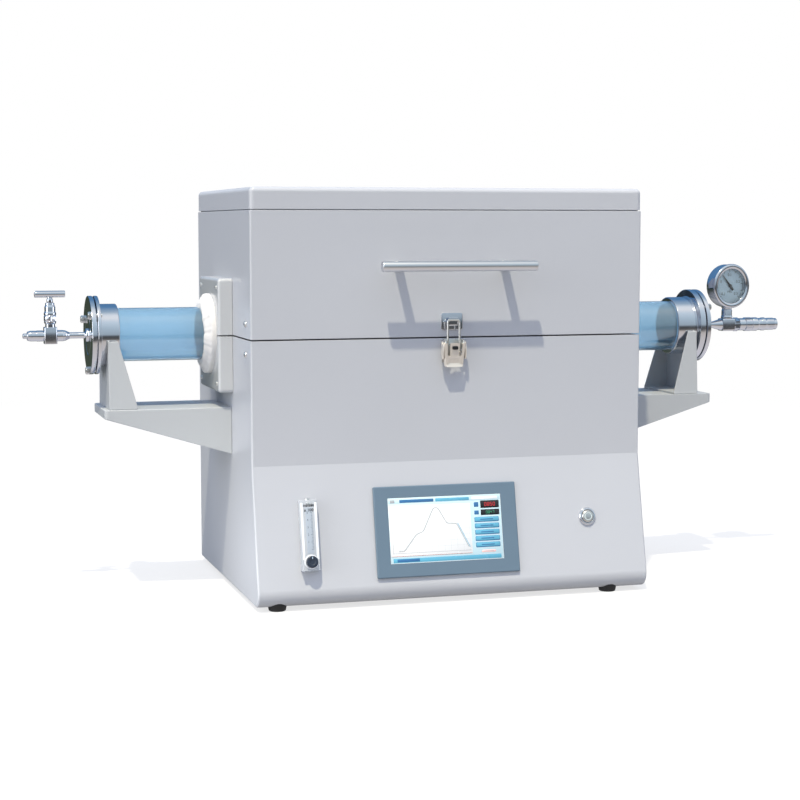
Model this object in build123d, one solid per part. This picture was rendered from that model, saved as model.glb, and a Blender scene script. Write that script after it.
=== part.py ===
"""Split-lid tube furnace on cantilever arms, with its gas train. All sizes are in millimetres.

While it is built, x = 0 is the middle of the case, y = 0 its upper front face with +Y to the rear,
and z = 0 the bench. save_all() moves the pieces so that the origin is the middle of the footprint.
"""
from build123d import *
from math import acos, atan2, cos, degrees, radians, sin, sqrt
import os

# ---- case -------------------------------------------------------------------------------------
case_width = 600
case_depth = 408
foot_height = 12
crease_height = 206        # where the control panel meets the upright front
seam_height = 387          # lid line, level with the work tube's axis
top_height = 605
cap_height = 33            # depth of the cap on top of the lid
panel_lean = 42            # how far the control panel's foot stands forward
lip_radius = 18            # rolled lower front edge
sheet = 1.5                # case sheet thickness
seam_gap = 2
band_gap = 1.5             # shadow groove under the cap
corner_radius = 3
cap_radius = 7
return_width = 20          # folded-in edges of the sheets
fit_gap = 0.3              # clearance between pieces that only lie beside each other

foot_radius = 14
foot_inset_left = 32       # foot centres from the case's sides
foot_inset_right = 57
foot_front_y = -19
foot_rear_inset = 36

# ---- hot zone ---------------------------------------------------------------------------------
axis_y = 204               # work tube axis, behind the front face
tube_shift = -7            # the tube stands this far off the case's middle
tube_length = 985
tube_radius = 40
tube_wall = 3
chamber_radius = 55
chamber_length = 400
bore_gap = 1.5             # between the tube and the insulation's end bores
insulation_width = 288
insulation_depth = 130     # from the tube axis to the block's outer face
insulation_end_gap = 15    # air space between the block and the side wall
pan_sheet = 1.2
strip_thick = 1.5          # heating element, a meander of resistance strip
strip_slot = 10
strip_link = 9
strips_per_half = 8
strip_edge_rise = 9        # the meander's edge above or below the tube axis
strip_end_gap = 2
probe_radius = 3
probe_reach = 6            # thermocouple tip above the chamber floor

port_width = 152           # covers over the tube's way through each side wall
port_rise = 85             # from the seam to the cover's far edge
port_depth = 22
port_wall = 2.5
port_radius = 5
ring_radius = 60.5         # fibre ring that closes the gap around the tube
ring_seat = 18             # depth of its seat in the port
ring_proud = 9

# ---- tube ends --------------------------------------------------------------------------------
hub_start = 456            # distances out along the tube from its middle
disc_start = 482
joint_start = 489.5
joint_gap = 1.5
disc_thick = 7
hub_radius = 46.5
disc_radius = 58.75
seal_cord = 2.5            # half of the squeezed O-ring's thickness
seal_floor = 3             # from the joint to the O-ring
seal_pitch = 53            # bolt circle radius
bolts_per_end = 3
bolt_radius = 3
bolt_head_across = 10
bolt_head_height = 5
pipe_radius = 6.35
pipe_wall = 1.2
boss_radius = 12
boss_length = 6

# ---- arms and pedestals -----------------------------------------------------------------------
arm_drop = 108             # arm's top below the tube axis
arm_reach = 190            # out from the side wall
arm_width = 126
arm_root_height = 71
arm_tip_height = 13
arm_sheet = 3
pedestal_offset = 475      # plate's outer face from the tube's middle
pedestal_base = 118
pedestal_head = 104
pedestal_depth = 42
pedestal_head_depth = 15
pedestal_top_drop = 7      # head below the tube axis
pedestal_sheet = 3

# ---- gas train --------------------------------------------------------------------------------
valve_offset = 553.5       # valve stem from the tube's middle
valve_side = 19
valve_body_drop = 12
bonnet_top_rise = 49
valve_bar_rise = 62
valve_bar_length = 45
valve_bar_radius = 5
stem_radius = 2.95
stub_radius = 4
stub_length = 22
nut_length = 9
nut_across = 17
tee_start = 529
tee_length = 46
tee_side = 20.5
connector_length = 74
connector_radius = 7.75
connector_bore = 5
connector_bore_depth = 18

gauge_rise = 64            # dial centre above the tube axis
gauge_offset = 554
gauge_radius = 35
gauge_depth = 28
gauge_turn = 11            # degrees that the dial is turned towards the operator's right
gauge_wall = 1.5
gauge_lip = 4
needle_length = 23
needle_angle = 130         # degrees from the dial's right-hand direction, counter-clockwise

# ---- control panel (drops are measured down along the panel from the crease) -------------------
bezel_width = 219
bezel_height = 133
bezel_proud = 5
bezel_x = -14.1
bezel_drop = 102.6
screen_width = 173.5
screen_height = 95.5
screen_x = -15.75
screen_drop = 101.2
screen_thick = 0.8
housing_width = 200
housing_height = 114
housing_depth = 30
flow_x = -223
flow_drop = 101.7
flow_width = 25.5
flow_height = 102
flow_thick = 14
flow_bore = 3.6
flow_bore_inset = 6.5      # bore's axis behind the block's face
flow_bore_start = 20       # float chamber's floor above the middle of the knob
float_radius = 3.1
float_length = 10
float_travel = 48
flow_knob_rise = 13        # knob centre above the block's lower end
flow_knob_radius = 8.5
flow_knob_length = 8
flow_stem_radius = 2.5
flow_stem_depth = 7
flow_port_radius = 5
flow_port_length = 22
button_x = 208.5
button_drop = 93
button_ring_radius = 13.4
button_radius = 9
button_travel = 3
button_barrel = 24

# ---- lid hardware -----------------------------------------------------------------------------
hinge_x = 200
hinge_width = 60
hinge_offset = 8           # pin axis behind the rear face
knuckle_radius = 7
pin_radius = 3
pin_gap = 0.05
leaf_thick = 2.5
leaf_height = 42
handle_rise = 105          # bar above the seam
handle_out = 42
handle_radius = 10
handle_length = 235
handle_leg_x = 81.5
handle_leg_radius = 7.5
handle_foot_radius = 11

latch_width = 30           # base plate
latch_ear_x = 13
latch_plate = 2
latch_pivot_drop = 9       # lever pivot below the seam
latch_pivot_out = 11
latch_rivet = 2
lever_length = 36          # below the pivot
lever_top_width = 36
lever_tip_width = 23
lever_sheet = 1.5
lever_out = 7              # lever's back face in front of its pivot
bail_radius = 1.5
bail_x = 9
bail_drop = 12             # bail pivot below the lever pivot
bail_length = 47
keeper_width = 30
keeper_lip_x = 7

# ---- inside the case --------------------------------------------------------------------------
fan_side = 80
fan_thick = 25
fan_x = 170
fan_height = 120
fan_hub = 17
fan_blades = 7
grille_pitch = 8
grille_slot = 4.5
louvre_width = 130
louvre_pitch = 14
louvre_rows = 9
louvre_depth = 5
gland_x = -220
gland_height = 60
gland_radius = 10
relay_x = -150             # solid-state relay on its heat sink
relay_length = 100
relay_depth = 80
relay_fins = 9
relay_fin = 3
relay_base = 8
relay_rise = 44
relay_body = 60
relay_body_depth = 44
relay_body_rise = 26
relay_step = 12
supply_x = 30              # direct-current supply
supply_length = 100
supply_depth = 130
supply_rise = 38
supply_slots = 7
supply_slot = 6
terminal_x = 190           # mains terminals
terminal_length = 120
terminal_depth = 24
terminal_rise = 14
terminal_fins = 7
terminal_fin = 3
terminal_fin_rise = 10
device_y = 190

# ---- derived places ---------------------------------------------------------------------------
half_case = case_width / 2
tube_z = seam_height
band_height = top_height - cap_height  # where the lid's wall ends and its cap starts
arm_top = tube_z - arm_drop
base_top = seam_height - seam_gap / 2
lid_bottom = seam_height + seam_gap / 2
lean_angle = atan2(panel_lean, crease_height - foot_height)
insulation_half = half_case - sheet - insulation_end_gap
port_inner_half = port_width / 2 - port_wall
port_face = half_case + port_depth
bolt_hole = bolt_radius + fit_gap
hinge_y = case_depth + hinge_offset
lever_pivot_z = seam_height - latch_pivot_drop
bail_pivot_z = lever_pivot_z - bail_drop
bail_top_z = bail_pivot_z + bail_length

pieces = {}


# ---- small helpers ----------------------------------------------------------------------------
def keep(name, *solids):
    """Store the solids of one node."""
    pieces[name] = list(solids)


def block(x0, x1, y0, y1, z0, z1):
    """Cuboid between two corners."""
    return Pos((x0 + x1) / 2, (y0 + y1) / 2, (z0 + z1) / 2) * Box(abs(x1 - x0), y1 - y0, z1 - z0)


def turned(place, outline):
    """Solid turned about the plane's normal from (radius, height) points."""
    face = make_face(Plane.XZ * Polyline(*outline, close=True))
    return place * revolve(face, Axis.Z)


def along_x(outline, x0, x1):
    """(y, z) outline pushed along X from x0 to x1."""
    face = Plane.YZ.offset(min(x0, x1)) * make_face(Polyline(*outline, close=True))
    return extrude(face, abs(x1 - x0), dir=(1, 0, 0))


def along_y(outline, y0, y1):
    """(x, z) outline pushed along Y from y0 to y1."""
    face = Pos(0, y0, 0) * make_face(Plane.XZ * Polyline(*outline, close=True))
    return extrude(face, y1 - y0, dir=(0, 1, 0))


def bar(start, direction, length, radius):
    """Round bar from a point along a direction."""
    return Part(Solid.make_cylinder(radius, length, Plane(start, z_dir=direction)).wrapped)


def hex_bar(place, across, length):
    """Hexagonal bar, given across its flats."""
    return place * extrude(RegularPolygon(across / 2, 6, major_radius=False), length)


def tube_end(side, distance):
    """Plane on the tube axis, at a distance from its middle, facing out of that end."""
    return Plane((tube_shift + side * distance, axis_y, tube_z), x_dir=(0, 1, 0), z_dir=(side, 0, 0))


def on_panel(x, drop):
    """Plane on the control panel, facing out, with local Y up along the panel."""
    y, z = -drop * sin(lean_angle), crease_height - drop * cos(lean_angle)
    return Plane((x, y, z), x_dir=(1, 0, 0), z_dir=(0, -cos(lean_angle), sin(lean_angle)))


def slab(place, width, height, low, high, radius=0):
    """Plate on a plane between two heights over it, with rounded corners."""
    outline = RectangleRounded(width, height, radius) if radius else Rectangle(width, height)
    return place * Pos(0, 0, low) * extrude(outline, high - low)


# ---- case -------------------------------------------------------------------------------------
def case_outline():
    """(y, z) section of the base: upright front, leaning panel and rolled lower edge."""
    corners = [(0, base_top), (0, crease_height), (-panel_lean, foot_height),
               (case_depth, foot_height), (case_depth, base_top)]
    face = make_face(Polyline(*corners, close=True))
    return fillet(face.vertices().sort_by(Axis.X)[0], lip_radius)


def neck_space(z0, z1):
    """Room in the side walls for the insulation's two necks."""
    return block(-half_case - 1, half_case + 1, axis_y - port_inner_half, axis_y + port_inner_half,
                 z0, z1)


def make_base_shell():
    outline = case_outline()
    outer = extrude(Plane.YZ.offset(-half_case) * outline, case_width, dir=(1, 0, 0))
    front_edges = outer.edges().filter_by(
        lambda e: abs(abs(e.center().X) - half_case) < 0.01 and e.center().Y < 0.5
        and e.center().Z > foot_height + 1)
    outer = fillet(front_edges, corner_radius)
    inner_half = half_case - sheet
    inner = extrude(Plane.YZ.offset(-inner_half) * offset(outline, -sheet), 2 * inner_half,
                    dir=(1, 0, 0))
    inner += block(-inner_half, inner_half, sheet, case_depth + 1, crease_height, base_top + 1)
    inner += block(-inner_half, inner_half, case_depth / 2, case_depth + 1, foot_height + sheet,
                   base_top + 1)
    window = block(-half_case + return_width, half_case - return_width, 2 * return_width,
                   case_depth - 3 * return_width, foot_height - 1, foot_height + sheet + 1)
    shell = outer - inner - window - neck_space(seam_height - port_rise + port_wall, base_top + 1)
    shell -= slab(on_panel(bezel_x, bezel_drop), housing_width + 2, housing_height + 2, -10, 1)
    shell -= on_panel(button_x, button_drop) * Cylinder(button_radius + 2 + fit_gap, 20)
    for place in flow_port_places():
        shell -= place * Cylinder(flow_port_radius + fit_gap, 20)
    keep("base_shell", shell)


def make_rear_panel():
    y0, y1 = case_depth - sheet, case_depth
    panel = block(-half_case + sheet, half_case - sheet, y0, y1, foot_height + sheet,
                  base_top - pan_sheet)
    first = seam_height - 60 - louvre_rows * louvre_pitch
    for centre in (-130, 0):
        for row in range(louvre_rows):
            z = first + row * louvre_pitch
            x0, x1 = centre - louvre_width / 2 + 7, centre + louvre_width / 2 - 7
            panel -= block(x0, x1, y0 - 1, y1 + 1, z, z + 6)
            hood = [(y1, z + 7), (y1, z + 8.5), (y1 + louvre_depth, z + 1), (y1 + louvre_depth, z)]
            panel += along_x(hood, x0, x1)
    opening = fan_side / 2 - 3
    for row in range(-4, 5):
        z = fan_height + row * grille_pitch
        reach = sqrt(opening ** 2 - (row * grille_pitch) ** 2)
        for x0, x1 in ((fan_x - reach, fan_x - 1.5), (fan_x + 1.5, fan_x + reach)):
            panel -= block(x0, x1, y0 - 1, y1 + 1, z - grille_slot / 2, z + grille_slot / 2)
    panel -= Plane((gland_x, y1, gland_height), z_dir=(0, 1, 0)) * Cylinder(gland_radius - 2, 10)
    keep("rear_panel", panel)


def make_floor_pan():
    z0 = foot_height + sheet
    pan = block(-half_case + sheet, half_case - sheet, -15, case_depth - sheet, z0, z0 + sheet)
    for column in range(-4, 5):
        for y in (70, 150, 300):
            pan -= block(column * 50 - 3, column * 50 + 3, y, y + 45, z0 - 1, z0 + sheet + 1)
    keep("floor_pan", pan)


def make_feet():
    outline = [(0, 0), (foot_radius - 2, 0), (foot_radius, foot_height), (0, foot_height)]
    xs = (-half_case + foot_inset_left, half_case - foot_inset_right)
    ys = (foot_front_y, case_depth - foot_rear_inset)
    keep("feet", *[turned(Plane((x, y, 0)), outline) for x in xs for y in ys])


# ---- hot zone ---------------------------------------------------------------------------------
def make_pan(name, sign):
    """Folded tray that carries one insulation half and closes the case at the seam."""
    edge = seam_height + sign * seam_gap / 2
    far = tube_z + sign * (insulation_depth + pan_sheet)
    half, wide = insulation_half + fit_gap, insulation_width / 2 + fit_gap
    low, high = min(edge, far), max(edge, far)
    pan = block(-half - pan_sheet, half + pan_sheet, axis_y - wide - pan_sheet,
                axis_y + wide + pan_sheet, low, high)
    deck_far = edge + sign * pan_sheet
    pan += block(-half_case + sheet, half_case - sheet, sheet, case_depth - sheet,
                 min(edge, deck_far), max(edge, deck_far))
    inside = tube_z + sign * (insulation_depth + fit_gap)
    pan -= block(-half, half, axis_y - wide, axis_y + wide, min(edge - sign, inside),
                 max(edge - sign, inside))
    neck_far = seam_height + sign * (port_rise - port_wall)
    pan -= neck_space(min(edge - sign, neck_far), max(edge - sign, neck_far))
    if sign < 0:
        pan -= Pos(0, axis_y, low) * Cylinder(probe_radius + fit_gap, 20)
    keep(name, pan)


def make_insulation(name, sign):
    """Fibre block with half of the heating chamber and a neck through each side wall."""
    edge = seam_height + sign * seam_gap / 2
    far = tube_z + sign * insulation_depth
    wide = insulation_width / 2
    half = block(-insulation_half, insulation_half, axis_y - wide, axis_y + wide,
                 min(edge, far), max(edge, far))
    neck_far = seam_height + sign * (port_rise - port_wall - fit_gap)
    neck_end, neck_wide = port_face - port_wall - fit_gap, port_inner_half - fit_gap
    half += block(-neck_end, neck_end, axis_y - neck_wide, axis_y + neck_wide,
                  min(edge, neck_far), max(edge, neck_far))
    across = Plane((0, axis_y, tube_z), z_dir=(1, 0, 0))
    half -= across * Cylinder(chamber_radius, chamber_length)
    half -= across * Cylinder(tube_radius + bore_gap, 2 * port_face)
    for side in (-1, 1):
        seat = across.offset(side * (port_face - ring_seat / 2))
        half -= seat * Cylinder(ring_radius + fit_gap, ring_seat)
    if sign < 0:
        half -= Pos(0, axis_y, far) * Cylinder(probe_radius + fit_gap, 2 * insulation_depth)
    keep(name, half)


def make_heater(name, sign):
    """Meander of resistance strip on the chamber's wall, slotted from its two ends in turn."""
    outer = chamber_radius - fit_gap
    length = chamber_length - 2 * strip_end_gap
    across = Plane((0, axis_y, tube_z), z_dir=(1, 0, 0))
    strip = across * (Cylinder(outer, length) - Cylinder(outer - strip_thick, length + 2))
    edge, far = tube_z + sign * strip_edge_rise, tube_z + sign * (outer + 1)
    strip &= block(-length, length, axis_y - outer - 1, axis_y + outer + 1, min(edge, far),
                   max(edge, far))
    span = 2 * degrees(acos(strip_edge_rise / outer))
    for i in range(1, strips_per_half):
        side = 1 if i % 2 else -1
        place = Pos(side * strip_link, axis_y, tube_z) * Rot(span * (i / strips_per_half - 0.5), 0, 0)
        strip -= place * Pos(0, 0, sign * outer) * Box(length, strip_slot, 4 * strip_thick)
    keep(name, strip)


def make_port_covers(name, sign):
    """Pressed covers over the insulation's necks, split at the seam like the case."""
    edge = seam_height + sign * seam_gap / 2
    far = seam_height + sign * port_rise
    covers = []
    for side in (-1, 1):
        x0, x1 = sorted((side * half_case, side * port_face))
        cover = block(x0, x1, axis_y - port_width / 2, axis_y + port_width / 2,
                      min(edge, far), max(edge, far))
        rounded = cover.edges().filter_by(lambda e: not (
            abs(abs(e.center().X) - half_case) < 0.01 or abs(e.center().Z - edge) < 0.01))
        cover = fillet(rounded, port_radius)
        hollow_far = far - sign * port_wall
        cover -= block(*sorted((side * (half_case - 1), side * (port_face - port_wall))),
                       axis_y - port_inner_half, axis_y + port_inner_half,
                       min(edge - sign, hollow_far), max(edge - sign, hollow_far))
        cover -= Plane((side * port_face, axis_y, tube_z), z_dir=(1, 0, 0)) * Cylinder(
            ring_radius + 0.5, 20)
        covers.append(cover)
    keep(name, *covers)


def make_port_rings():
    inner = tube_radius + fit_gap
    back = -ring_seat + fit_gap
    outline = [(inner, back), (ring_radius, back), (ring_radius, ring_proud - 3),
               (ring_radius - 3, ring_proud), (inner + 5, ring_proud), (inner, ring_proud - 4)]
    places = [Plane((side * port_face, axis_y, tube_z), z_dir=(side, 0, 0)) for side in (-1, 1)]
    keep("port_rings", *[turned(place, outline) for place in places])


def make_work_tube():
    place = Plane((tube_shift, axis_y, tube_z), z_dir=(1, 0, 0))
    tube = place * (Cylinder(tube_radius, tube_length)
                    - Cylinder(tube_radius - tube_wall, tube_length + 2))
    keep("work_tube", tube)


def make_thermocouple():
    tip = tube_z - chamber_radius + probe_reach
    bottom = tube_z - insulation_depth - pan_sheet - 1
    foot = bottom - 20
    outline = [(0, foot), (9, foot), (9, bottom), (probe_radius, bottom), (probe_radius, tip - 2),
               (0, tip)]
    keep("thermocouple", turned(Plane((0, axis_y, 0)), outline))


# ---- tube ends --------------------------------------------------------------------------------
def bolt_places(side, distance):
    """Planes on the bolt circle of one tube end."""
    base = tube_end(side, distance)
    step = 360 / bolts_per_end
    return [base * Pos(seal_pitch * cos(radians(step * (i + 0.5))),
                       seal_pitch * sin(radians(step * (i + 0.5))), 0)
            for i in range(bolts_per_end)]


def make_inner_flanges():
    bore = tube_radius + fit_gap
    seat = tube_radius + 2 * seal_cord + fit_gap
    depth = 2 * seal_cord + seal_floor
    hub, disc = disc_start - hub_start, joint_start - hub_start
    outline = [(bore, 0), (hub_radius - 1.5, 0), (hub_radius, 1.5), (hub_radius, hub),
               (disc_radius - 1, hub), (disc_radius, hub + 1), (disc_radius, disc),
               (seat, disc), (seat, disc - depth), (bore, disc - depth)]
    flanges = []
    for side in (-1, 1):
        flange = turned(tube_end(side, hub_start), outline)
        for place in bolt_places(side, joint_start):
            flange -= place * Cylinder(bolt_hole, 4 * disc_thick)
        flanges.append(flange)
    keep("inner_flanges", *flanges)


def make_seal_rings():
    low, high = tube_radius + fit_gap / 2, tube_radius + fit_gap / 2 + 2 * seal_cord
    flat = seal_cord / 2
    outline = [(low, -flat), (low + flat, -seal_cord), (high - flat, -seal_cord), (high, -flat),
               (high, flat), (high - flat, seal_cord), (low + flat, seal_cord), (low, flat)]
    centre = joint_start - seal_cord - seal_floor
    keep("seal_rings", *[turned(tube_end(side, centre), outline) for side in (-1, 1)])


def make_end_plate(name, side):
    """Clamp plate with the spigot that presses the O-ring and a welded gas pipe."""
    start = joint_start + joint_gap
    spigot = tube_radius + 2 * seal_cord
    recess = tube_length / 2 - start + 1.5
    pipe_end = valve_offset - valve_side / 2 if side < 0 else tee_start
    length = pipe_end - start - nut_length
    bore = pipe_radius - pipe_wall
    outline = [(bore, recess), (tube_radius + 0.4, recess), (tube_radius + 0.4, -4),
               (spigot, -4), (spigot, 0), (disc_radius, 0), (disc_radius, disc_thick - 1),
               (disc_radius - 1, disc_thick), (boss_radius, disc_thick),
               (boss_radius, disc_thick + boss_length), (pipe_radius, disc_thick + boss_length),
               (pipe_radius, length), (bore, length)]
    plate = turned(tube_end(side, start), outline)
    for place in bolt_places(side, start):
        plate -= place * Cylinder(bolt_hole, 4 * disc_thick)
    keep(name, plate)


def make_flange_bolts():
    start = joint_start + joint_gap + disc_thick
    grip = start - disc_start
    bolts = []
    for side in (-1, 1):
        for place in bolt_places(side, start):
            bolt = hex_bar(place, bolt_head_across, bolt_head_height)
            bolt += place * Pos(0, 0, -grip) * extrude(Circle(bolt_radius), grip)
            bolts.append(bolt)
    keep("flange_bolts", *bolts)


# ---- arms and pedestals -----------------------------------------------------------------------
def make_arm(name, side):
    """Folded channel, open below, that tapers from the case to its tip."""
    tip = half_case + arm_reach
    y0, y1 = axis_y - arm_width / 2, axis_y + arm_width / 2
    outline = [(side * half_case, arm_top), (side * tip, arm_top),
               (side * tip, arm_top - arm_tip_height), (side * half_case, arm_top - arm_root_height)]
    arm = along_y(outline, y0, y1)
    corners = arm.edges().filter_by(Axis.Z).filter_by(lambda e: abs(e.center().X) > tip - 1)
    arm = fillet(corners, 7)
    arm -= block(*sorted((side * (half_case + arm_sheet), side * (tip - arm_sheet))),
                 y0 + arm_sheet, y1 - arm_sheet, 0, arm_top - arm_sheet)
    keep(name, arm)


def make_pedestal(name, side):
    """Folded stand on the arm, with a half-round saddle under the tube's hub."""
    outer = tube_shift + side * pedestal_offset
    inner = outer - side * pedestal_depth
    top = tube_z - pedestal_top_drop
    t = pedestal_sheet
    base, head = pedestal_base / 2, pedestal_head / 2
    stand = along_x([(axis_y - base, arm_top), (axis_y + base, arm_top), (axis_y + head, top),
                     (axis_y - head, top)], outer, inner)
    stand -= along_x([(axis_y - base + t, arm_top + t), (axis_y + base - t, arm_top + t),
                      (axis_y + head - t, top + 1), (axis_y - head + t, top + 1)],
                     outer - side * t, inner - side)
    slope = [(inner, arm_top + t), (outer - side * pedestal_head_depth, top),
             (outer - side * pedestal_head_depth, top + 5), (inner - side * 5, top + 5),
             (inner - side * 5, arm_top + t)]
    stand -= along_y(slope, axis_y - pedestal_base, axis_y + pedestal_base)
    stand -= Plane((outer, axis_y, tube_z), z_dir=(1, 0, 0)) * Cylinder(
        hub_radius + fit_gap, 3 * pedestal_depth)
    keep(name, stand)


# ---- gas train --------------------------------------------------------------------------------
def make_valve():
    x = tube_shift - valve_offset
    half = valve_side / 2
    low, high = tube_z - valve_body_drop, tube_z + valve_side - valve_body_drop / 2
    body = block(x - half, x + half, axis_y - half, axis_y + half, low, high)
    body = chamfer(body.edges().filter_by(Axis.Z), 2)
    right = Plane((x + half, axis_y, tube_z), z_dir=(1, 0, 0))
    body += hex_bar(right, nut_across, nut_length)
    body -= right * Cylinder(pipe_radius - pipe_wall, 3 * nut_length)
    keep("valve_body", body)

    foot = Plane((x, axis_y, high))
    top = tube_z + bonnet_top_rise
    bonnet = hex_bar(foot, valve_side - 1, 9)
    bonnet += foot * extrude(Circle(8.6), top - high)
    bonnet -= Plane((x, axis_y, top)) * Cylinder(stem_radius + pin_gap, 2 * 16)
    keep("valve_bonnet", bonnet)

    bar_z = tube_z + valve_bar_rise
    handle = bar((x - valve_bar_length / 2, axis_y, bar_z), (1, 0, 0), valve_bar_length,
                 valve_bar_radius)
    handle = chamfer(handle.edges(), 0.8)
    handle += bar((x, axis_y, top + fit_gap), (0, 0, 1), bar_z - top - fit_gap, 4.6)
    handle += bar((x, axis_y, top - 15), (0, 0, 1), 16, stem_radius)
    keep("valve_handle", handle)

    left = Plane((x - half, axis_y, tube_z), z_dir=(-1, 0, 0))
    stub = hex_bar(left, nut_across, nut_length)
    stub += left * extrude(Circle(stub_radius), nut_length + stub_length)
    stub -= left * Cylinder(stub_radius - 1, 4 * (nut_length + stub_length))
    keep("gas_stub", stub)


def make_tee():
    x0 = tube_shift + tee_start
    x1 = x0 + tee_length
    half = tee_side / 2
    tee = block(x0, x1, axis_y - half, axis_y + half, tube_z - half, tube_z + half)
    tee = chamfer(tee.edges().filter_by(Axis.X), 2)
    tee += hex_bar(Plane((x0, axis_y, tube_z), z_dir=(-1, 0, 0)), nut_across, nut_length)
    tee -= bar((x0 - 20, axis_y, tube_z), (1, 0, 0), 60, pipe_radius - pipe_wall)
    x = tube_shift + gauge_offset
    low = tube_z + half
    high = tube_z + gauge_rise - gauge_radius + 1
    tee += hex_bar(Plane((x, axis_y, low)), 18, 5)
    tee += bar((x, axis_y, low), (0, 0, 1), high - low, 7.2)
    case_space = gauge_place(-gauge_depth / 2) * extrude(Circle(gauge_radius), gauge_depth)
    keep("gauge_tee", tee - case_space)


def make_connector():
    x0 = tube_shift + tee_start + tee_length
    place = Plane((x0, axis_y, tube_z), z_dir=(1, 0, 0))
    r, end = connector_radius, connector_length
    outline = [(0, 0), (r, 0), (r, end - 24), (r + 2, end - 24), (r + 2, end - 16),
               (r, end - 16), (r, end - 1), (r - 1, end), (connector_bore, end),
               (connector_bore, end - connector_bore_depth), (0, end - connector_bore_depth)]
    body = turned(place, outline) + hex_bar(place, 20, 16)
    keep("outlet_connector", body)


def gauge_place(height=0.0):
    """Plane at a height in front of the gauge's middle, facing the way the dial faces."""
    turn = radians(gauge_turn)
    normal = Vector(sin(turn), -cos(turn), 0)
    centre = Vector(tube_shift + gauge_offset, axis_y, tube_z + gauge_rise) + normal * height
    return Plane(centre, x_dir=(cos(turn), sin(turn), 0), z_dir=normal)


def make_gauge():
    r, w = gauge_radius, gauge_wall
    back, front = -gauge_depth / 2, gauge_depth / 2
    dial_z = front - 11
    glass_z = front - 4.5
    case = turned(gauge_place(), [
        (0, back), (r - 3, back), (r - 1, back + 2), (r - 1, front - 6), (r - 1 - w, front - 6),
        (r - 1 - w, dial_z), (r - 5, dial_z), (r - 5, back + w), (0, back + w)])
    keep("gauge_case", case)
    inner = r - 1 - w
    dial = gauge_place(dial_z) * (extrude(Circle(inner - fit_gap), 1) - Cylinder(1 + pin_gap, 10))
    keep("gauge_dial", dial)
    keep("gauge_glass", gauge_place(glass_z) * extrude(Circle(inner - fit_gap), 2))
    bezel = turned(gauge_place(), [
        (inner, front - 6), (r, front - 6), (r, front - 1), (r - 1, front), (r - gauge_lip, front),
        (r - gauge_lip, glass_z + 2), (inner, glass_z + 2)])
    keep("gauge_bezel", bezel)

    blade = make_face(Polyline((-7, 1.6), (-7, -1.6), (needle_length, -0.4), (needle_length, 0.4),
                               close=True))
    blade_z = dial_z + 2.2
    needle = gauge_place(blade_z) * Rot(0, 0, needle_angle) * extrude(blade, 0.6)
    needle += gauge_place(blade_z - 0.7) * extrude(Circle(3), 2.5)
    needle += gauge_place(dial_z - 4) * extrude(Circle(1), 6)
    keep("gauge_needle", needle)


# ---- control panel ----------------------------------------------------------------------------
def make_touch_panel():
    place = on_panel(bezel_x, bezel_drop)
    bezel = slab(place, bezel_width, bezel_height, 0, bezel_proud, 2)
    bezel = chamfer(bezel.faces().sort_by(Axis.Y)[0].edges(), 1.2)
    bezel += slab(place, housing_width, housing_height, -housing_depth, 0, 3)
    screen = on_panel(screen_x, screen_drop)
    top = bezel_proud - 0.2
    bezel -= slab(screen, screen_width + 2 * fit_gap, screen_height + 2 * fit_gap,
                  top - screen_thick, bezel_proud + 1)
    keep("touch_bezel", bezel)
    keep("touch_screen", slab(screen, screen_width, screen_height, top - screen_thick, top))


def flow_port_places():
    """Planes of the flowmeter's two gas ports, behind the block's ends."""
    middle = on_panel(flow_x, flow_drop)
    return [middle * Pos(0, s * (flow_height / 2 - flow_knob_rise), 0) for s in (-1, 1)]


def make_flowmeter():
    place = on_panel(flow_x, flow_drop)
    body = slab(place, flow_width, flow_height, 0, flow_thick, 1.5)
    knob_y = -flow_height / 2 + flow_knob_rise
    floor_y = knob_y + flow_bore_start
    bore_z = flow_thick - flow_bore_inset
    up = place * Pos(0, floor_y, bore_z) * Rot(-90, 0, 0)
    bore = up * extrude(Circle(flow_bore), flow_height)
    body -= bore
    stem_seat = place * Pos(0, knob_y, flow_thick)
    body -= stem_seat * Cylinder(flow_stem_radius + pin_gap, 2 * (flow_stem_depth + 1))
    keep("flow_block", body)

    low, high = 0.3, 0.3 + float_length
    keep("flow_float", turned(up, [
        (0, low), (1.6, low), (float_radius, high - 3), (float_radius, high), (0, high)]))

    knob = turned(stem_seat, [
        (0, -flow_stem_depth), (flow_stem_radius, -flow_stem_depth), (flow_stem_radius, 0.5), (flow_knob_radius, 0.5),
        (flow_knob_radius, flow_knob_length - 1), (flow_knob_radius - 1, flow_knob_length),
        (0, flow_knob_length)])
    keep("flow_knob", knob)

    ports = [spot * Pos(0, 0, -flow_port_length) * extrude(Circle(flow_port_radius),
                                                           flow_port_length)
             for spot in flow_port_places()]
    plug_length = flow_height / 2 - floor_y - float_length - float_travel - 1
    plug = place * Pos(0, flow_height / 2 - plug_length, bore_z) * Rot(-90, 0, 0) * extrude(
        Circle(flow_bore - 0.1), plug_length + 2)
    keep("flow_ports", *ports, plug)


def make_button():
    place = on_panel(button_x, button_drop)
    hole = button_radius + fit_gap
    barrel = button_radius + 2
    ring = turned(place, [
        (hole, -button_barrel + 3), (0, -button_barrel + 3), (0, -button_barrel),
        (barrel, -button_barrel), (barrel, 0), (button_ring_radius, 0),
        (button_ring_radius, 2), (button_ring_radius - 2, 4), (hole, 4)])
    keep("button_ring", ring)
    cap = turned(place, [(0, -7), (button_radius, -7), (button_radius, 4.5),
                         (button_radius - 1.5, 6), (0, 6)])
    keep("button_cap", cap)


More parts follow.
